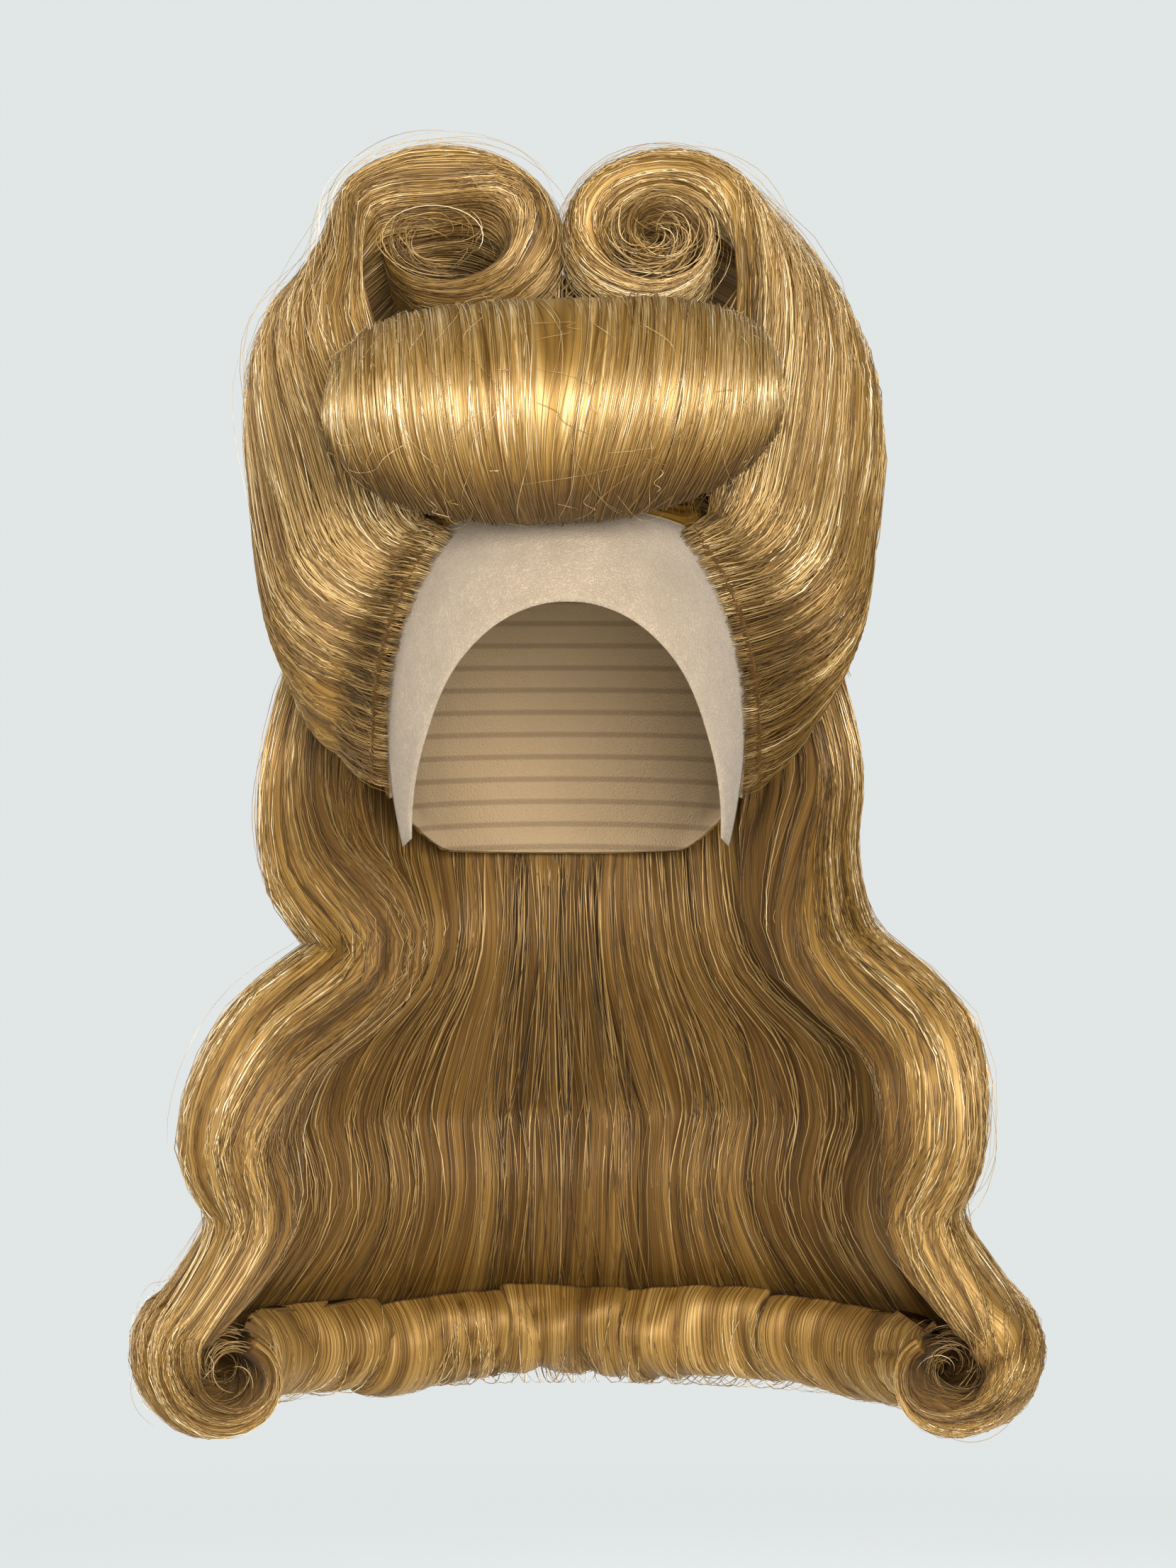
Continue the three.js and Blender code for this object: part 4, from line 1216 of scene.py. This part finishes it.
def crownGuides(count, seed, places=16):
    own = max(2, count // len(lockPlaces))
    _, t, even, about = draws(seed, own, places)
    sets = []
    for index, place in enumerate(lockPlaces):
        across = even(*crown["across"])
        side = index - (fall["count"] - 1) / 2 + 0.5 * np.cos(fullTurn * across)
        along = 0.01 + crown["run"] * np.maximum(0, t - 0.45) / 0.55 + 0 * across
        second = frameOf(place, along, across + 0 * t, 0.0005 + 0 * along)
        start = stacked(side * crown["apart"] + about(crown["stray"]), even(*crown["front"]))
        flat = start + (second[0][:, :1, :2] - start) * np.minimum(1, t / 0.62)[..., None]
        x, y, grow = flat[..., 0], flat[..., 1], cover["clear"] + even(*crown["grow"])
        inside = 1 - (x / (halfBreadth + grow)) ** 2 - (y / (halfLength + grow)) ** 2
        first = stacked(x, y, (head["rise"] + grow) * np.sqrt(np.maximum(inside, 0.05)) - head["rise"])
        sets.append(settledGuides((first, headNormal(first)), second, smoothStep(0.38, 0.7, t), even(),
                                  even(*crown["width"]), even(*crown["shade"])))
    return {key: np.concatenate([part[key] for part in sets]) for key in sets[0]}


def makeFineHair():
    for roll, place in zip(rolls, rollPlaces):
        hair = hairlineGuides(roll, place, thinned(combed["strands"]), roll["seed"] + 5)
        makeStrands(roll["name"] + "Hairline", hair, 0.6)
        under = templeGuides(roll, place, temple["strands"], roll["seed"] + 6)
        makeStrands(roll["name"] + "Temple", under)
    makeStrands("partingStrands", partingGuides(parting["strands"], 95))
    makeStrands("crownStrands", crownGuides(thinned(crown["strands"]), 91))


def makeLace():
    columns, rows = shell["laceColumns"], shell["laceRows"]
    reach = min(hairAzimuth[-1], laceAzimuth[-1])
    azimuth = np.linspace(-reach, reach, columns)
    upper = np.interp(np.abs(azimuth), hairAzimuth, hairHeight) + shell["lap"]
    lower = np.interp(np.abs(azimuth), laceAzimuth, laceHeight)
    share = np.linspace(0, 1, rows)[:, None]
    z = upper * (1 - share) + np.minimum(lower, upper - 0.002) * share
    size = rows * columns
    points = np.vstack([headPoint(azimuth[None, :], z, grow).reshape(-1, 3)
                        for grow in (cover["lace"], 0.0)])
    faces = gridFaces(rows, columns, False)
    faces += [[v + size for v in f[::-1]] for f in faces]
    border = list(range(columns)) + [r * columns + columns - 1 for r in range(1, rows)]
    border += [(rows - 1) * columns + c for c in range(columns - 2, -1, -1)]
    border += [r * columns for r in range(rows - 2, 0, -1)]
    for a, b in zip(border, border[1:] + border[:1]):
        faces.append([a, a + size, b + size, b])
    front = addMesh("laceFront", points, turnedOut(faces, points), {}, laceMaterial)
    finishPiece(front, "lace", "lace_front")


makeCap()
makeRoots()
makeFineHair()
makeLace()
print("cap, roots, fine hair and lace made")


# Studio: a pale floor whose far part fades into the pale surroundings, and large soft lights
studio = {"floor": -0.9, "floorRadius": 7.0, "floorColour": (0.8, 0.82, 0.82), "fade": (0.5, 2.8),
          "pale": (0.755, 0.79, 0.79), "ambient": 0.27, "aim": (0, 0, -0.12)}


def makeStudio():
    shape = bmesh.new()
    bmesh.ops.create_circle(shape, cap_ends=True, segments=96, radius=studio["floorRadius"])
    mesh = bpy.data.meshes.new("studioFloor")
    shape.to_mesh(mesh)
    shape.free()
    floor = addObject("studioFloor", mesh)
    floor.location = (0, 0, studio["floor"])
    material, tree = newMaterial("paleFloor")
    place = addNode(tree, "ShaderNodeTexCoord").outputs["Object"]
    far = addNode(tree, "ShaderNodeVectorMath", {0: place}, operation="LENGTH").outputs["Value"]
    finishMaterial(tree, {"Base Color": (*studio["floorColour"], 1), "Roughness": 0.9,
                          "Alpha": rangeNode(tree, far, studio["fade"], (1.0, 0.0), "SMOOTHSTEP")})
    mesh.materials.append(material)
    world = bpy.data.worlds.new("paleStudio")
    bpy.context.scene.world = world
    world.use_nodes = True
    tree = world.node_tree
    back = tree.nodes["Background"]
    back.inputs["Color"].default_value = (*studio["pale"], 1)
    seen = addNode(tree, "ShaderNodeLightPath").outputs["Is Camera Ray"]
    tree.links.new(rangeNode(tree, seen, to=(studio["ambient"], 1.0)), back.inputs["Strength"])


lights = [  # name, place, width, height, power
    ("keySoftbox", (0.35, -2.4, 0.26), 1.6, 1.0, 118.0),
    ("leftSoftbox", (-1.9, -1.2, 0.5), 0.9, 1.3, 16.0),
    ("backSoftbox", (0.6, 2.1, 0.6), 1.4, 1.1, 56.0),
    ("backFill", (-1.9, 0.9, 0.3), 0.9, 1.2, 16.0),
]


def makeLights():
    for name, place, width, height, power in lights:
        data = bpy.data.lights.new(name, "AREA")
        data.shape = "RECTANGLE"
        data.size, data.size_y, data.energy = width, height, power
        lamp = addObject(name, data)
        lamp.location = place
        aimAlong(lamp, Vector(studio["aim"]) - Vector(place))


makeStudio()
makeLights()
bpy.context.scene.view_settings.view_transform = "Standard"
print("studio made")

triangles = {o.name: sum(len(p.vertices) - 2 for p in o.data.polygons)
             for o in bpy.context.scene.objects if o.type == "MESH" and o.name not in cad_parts}
print("triangles:", sum(triangles.values()), triangles)
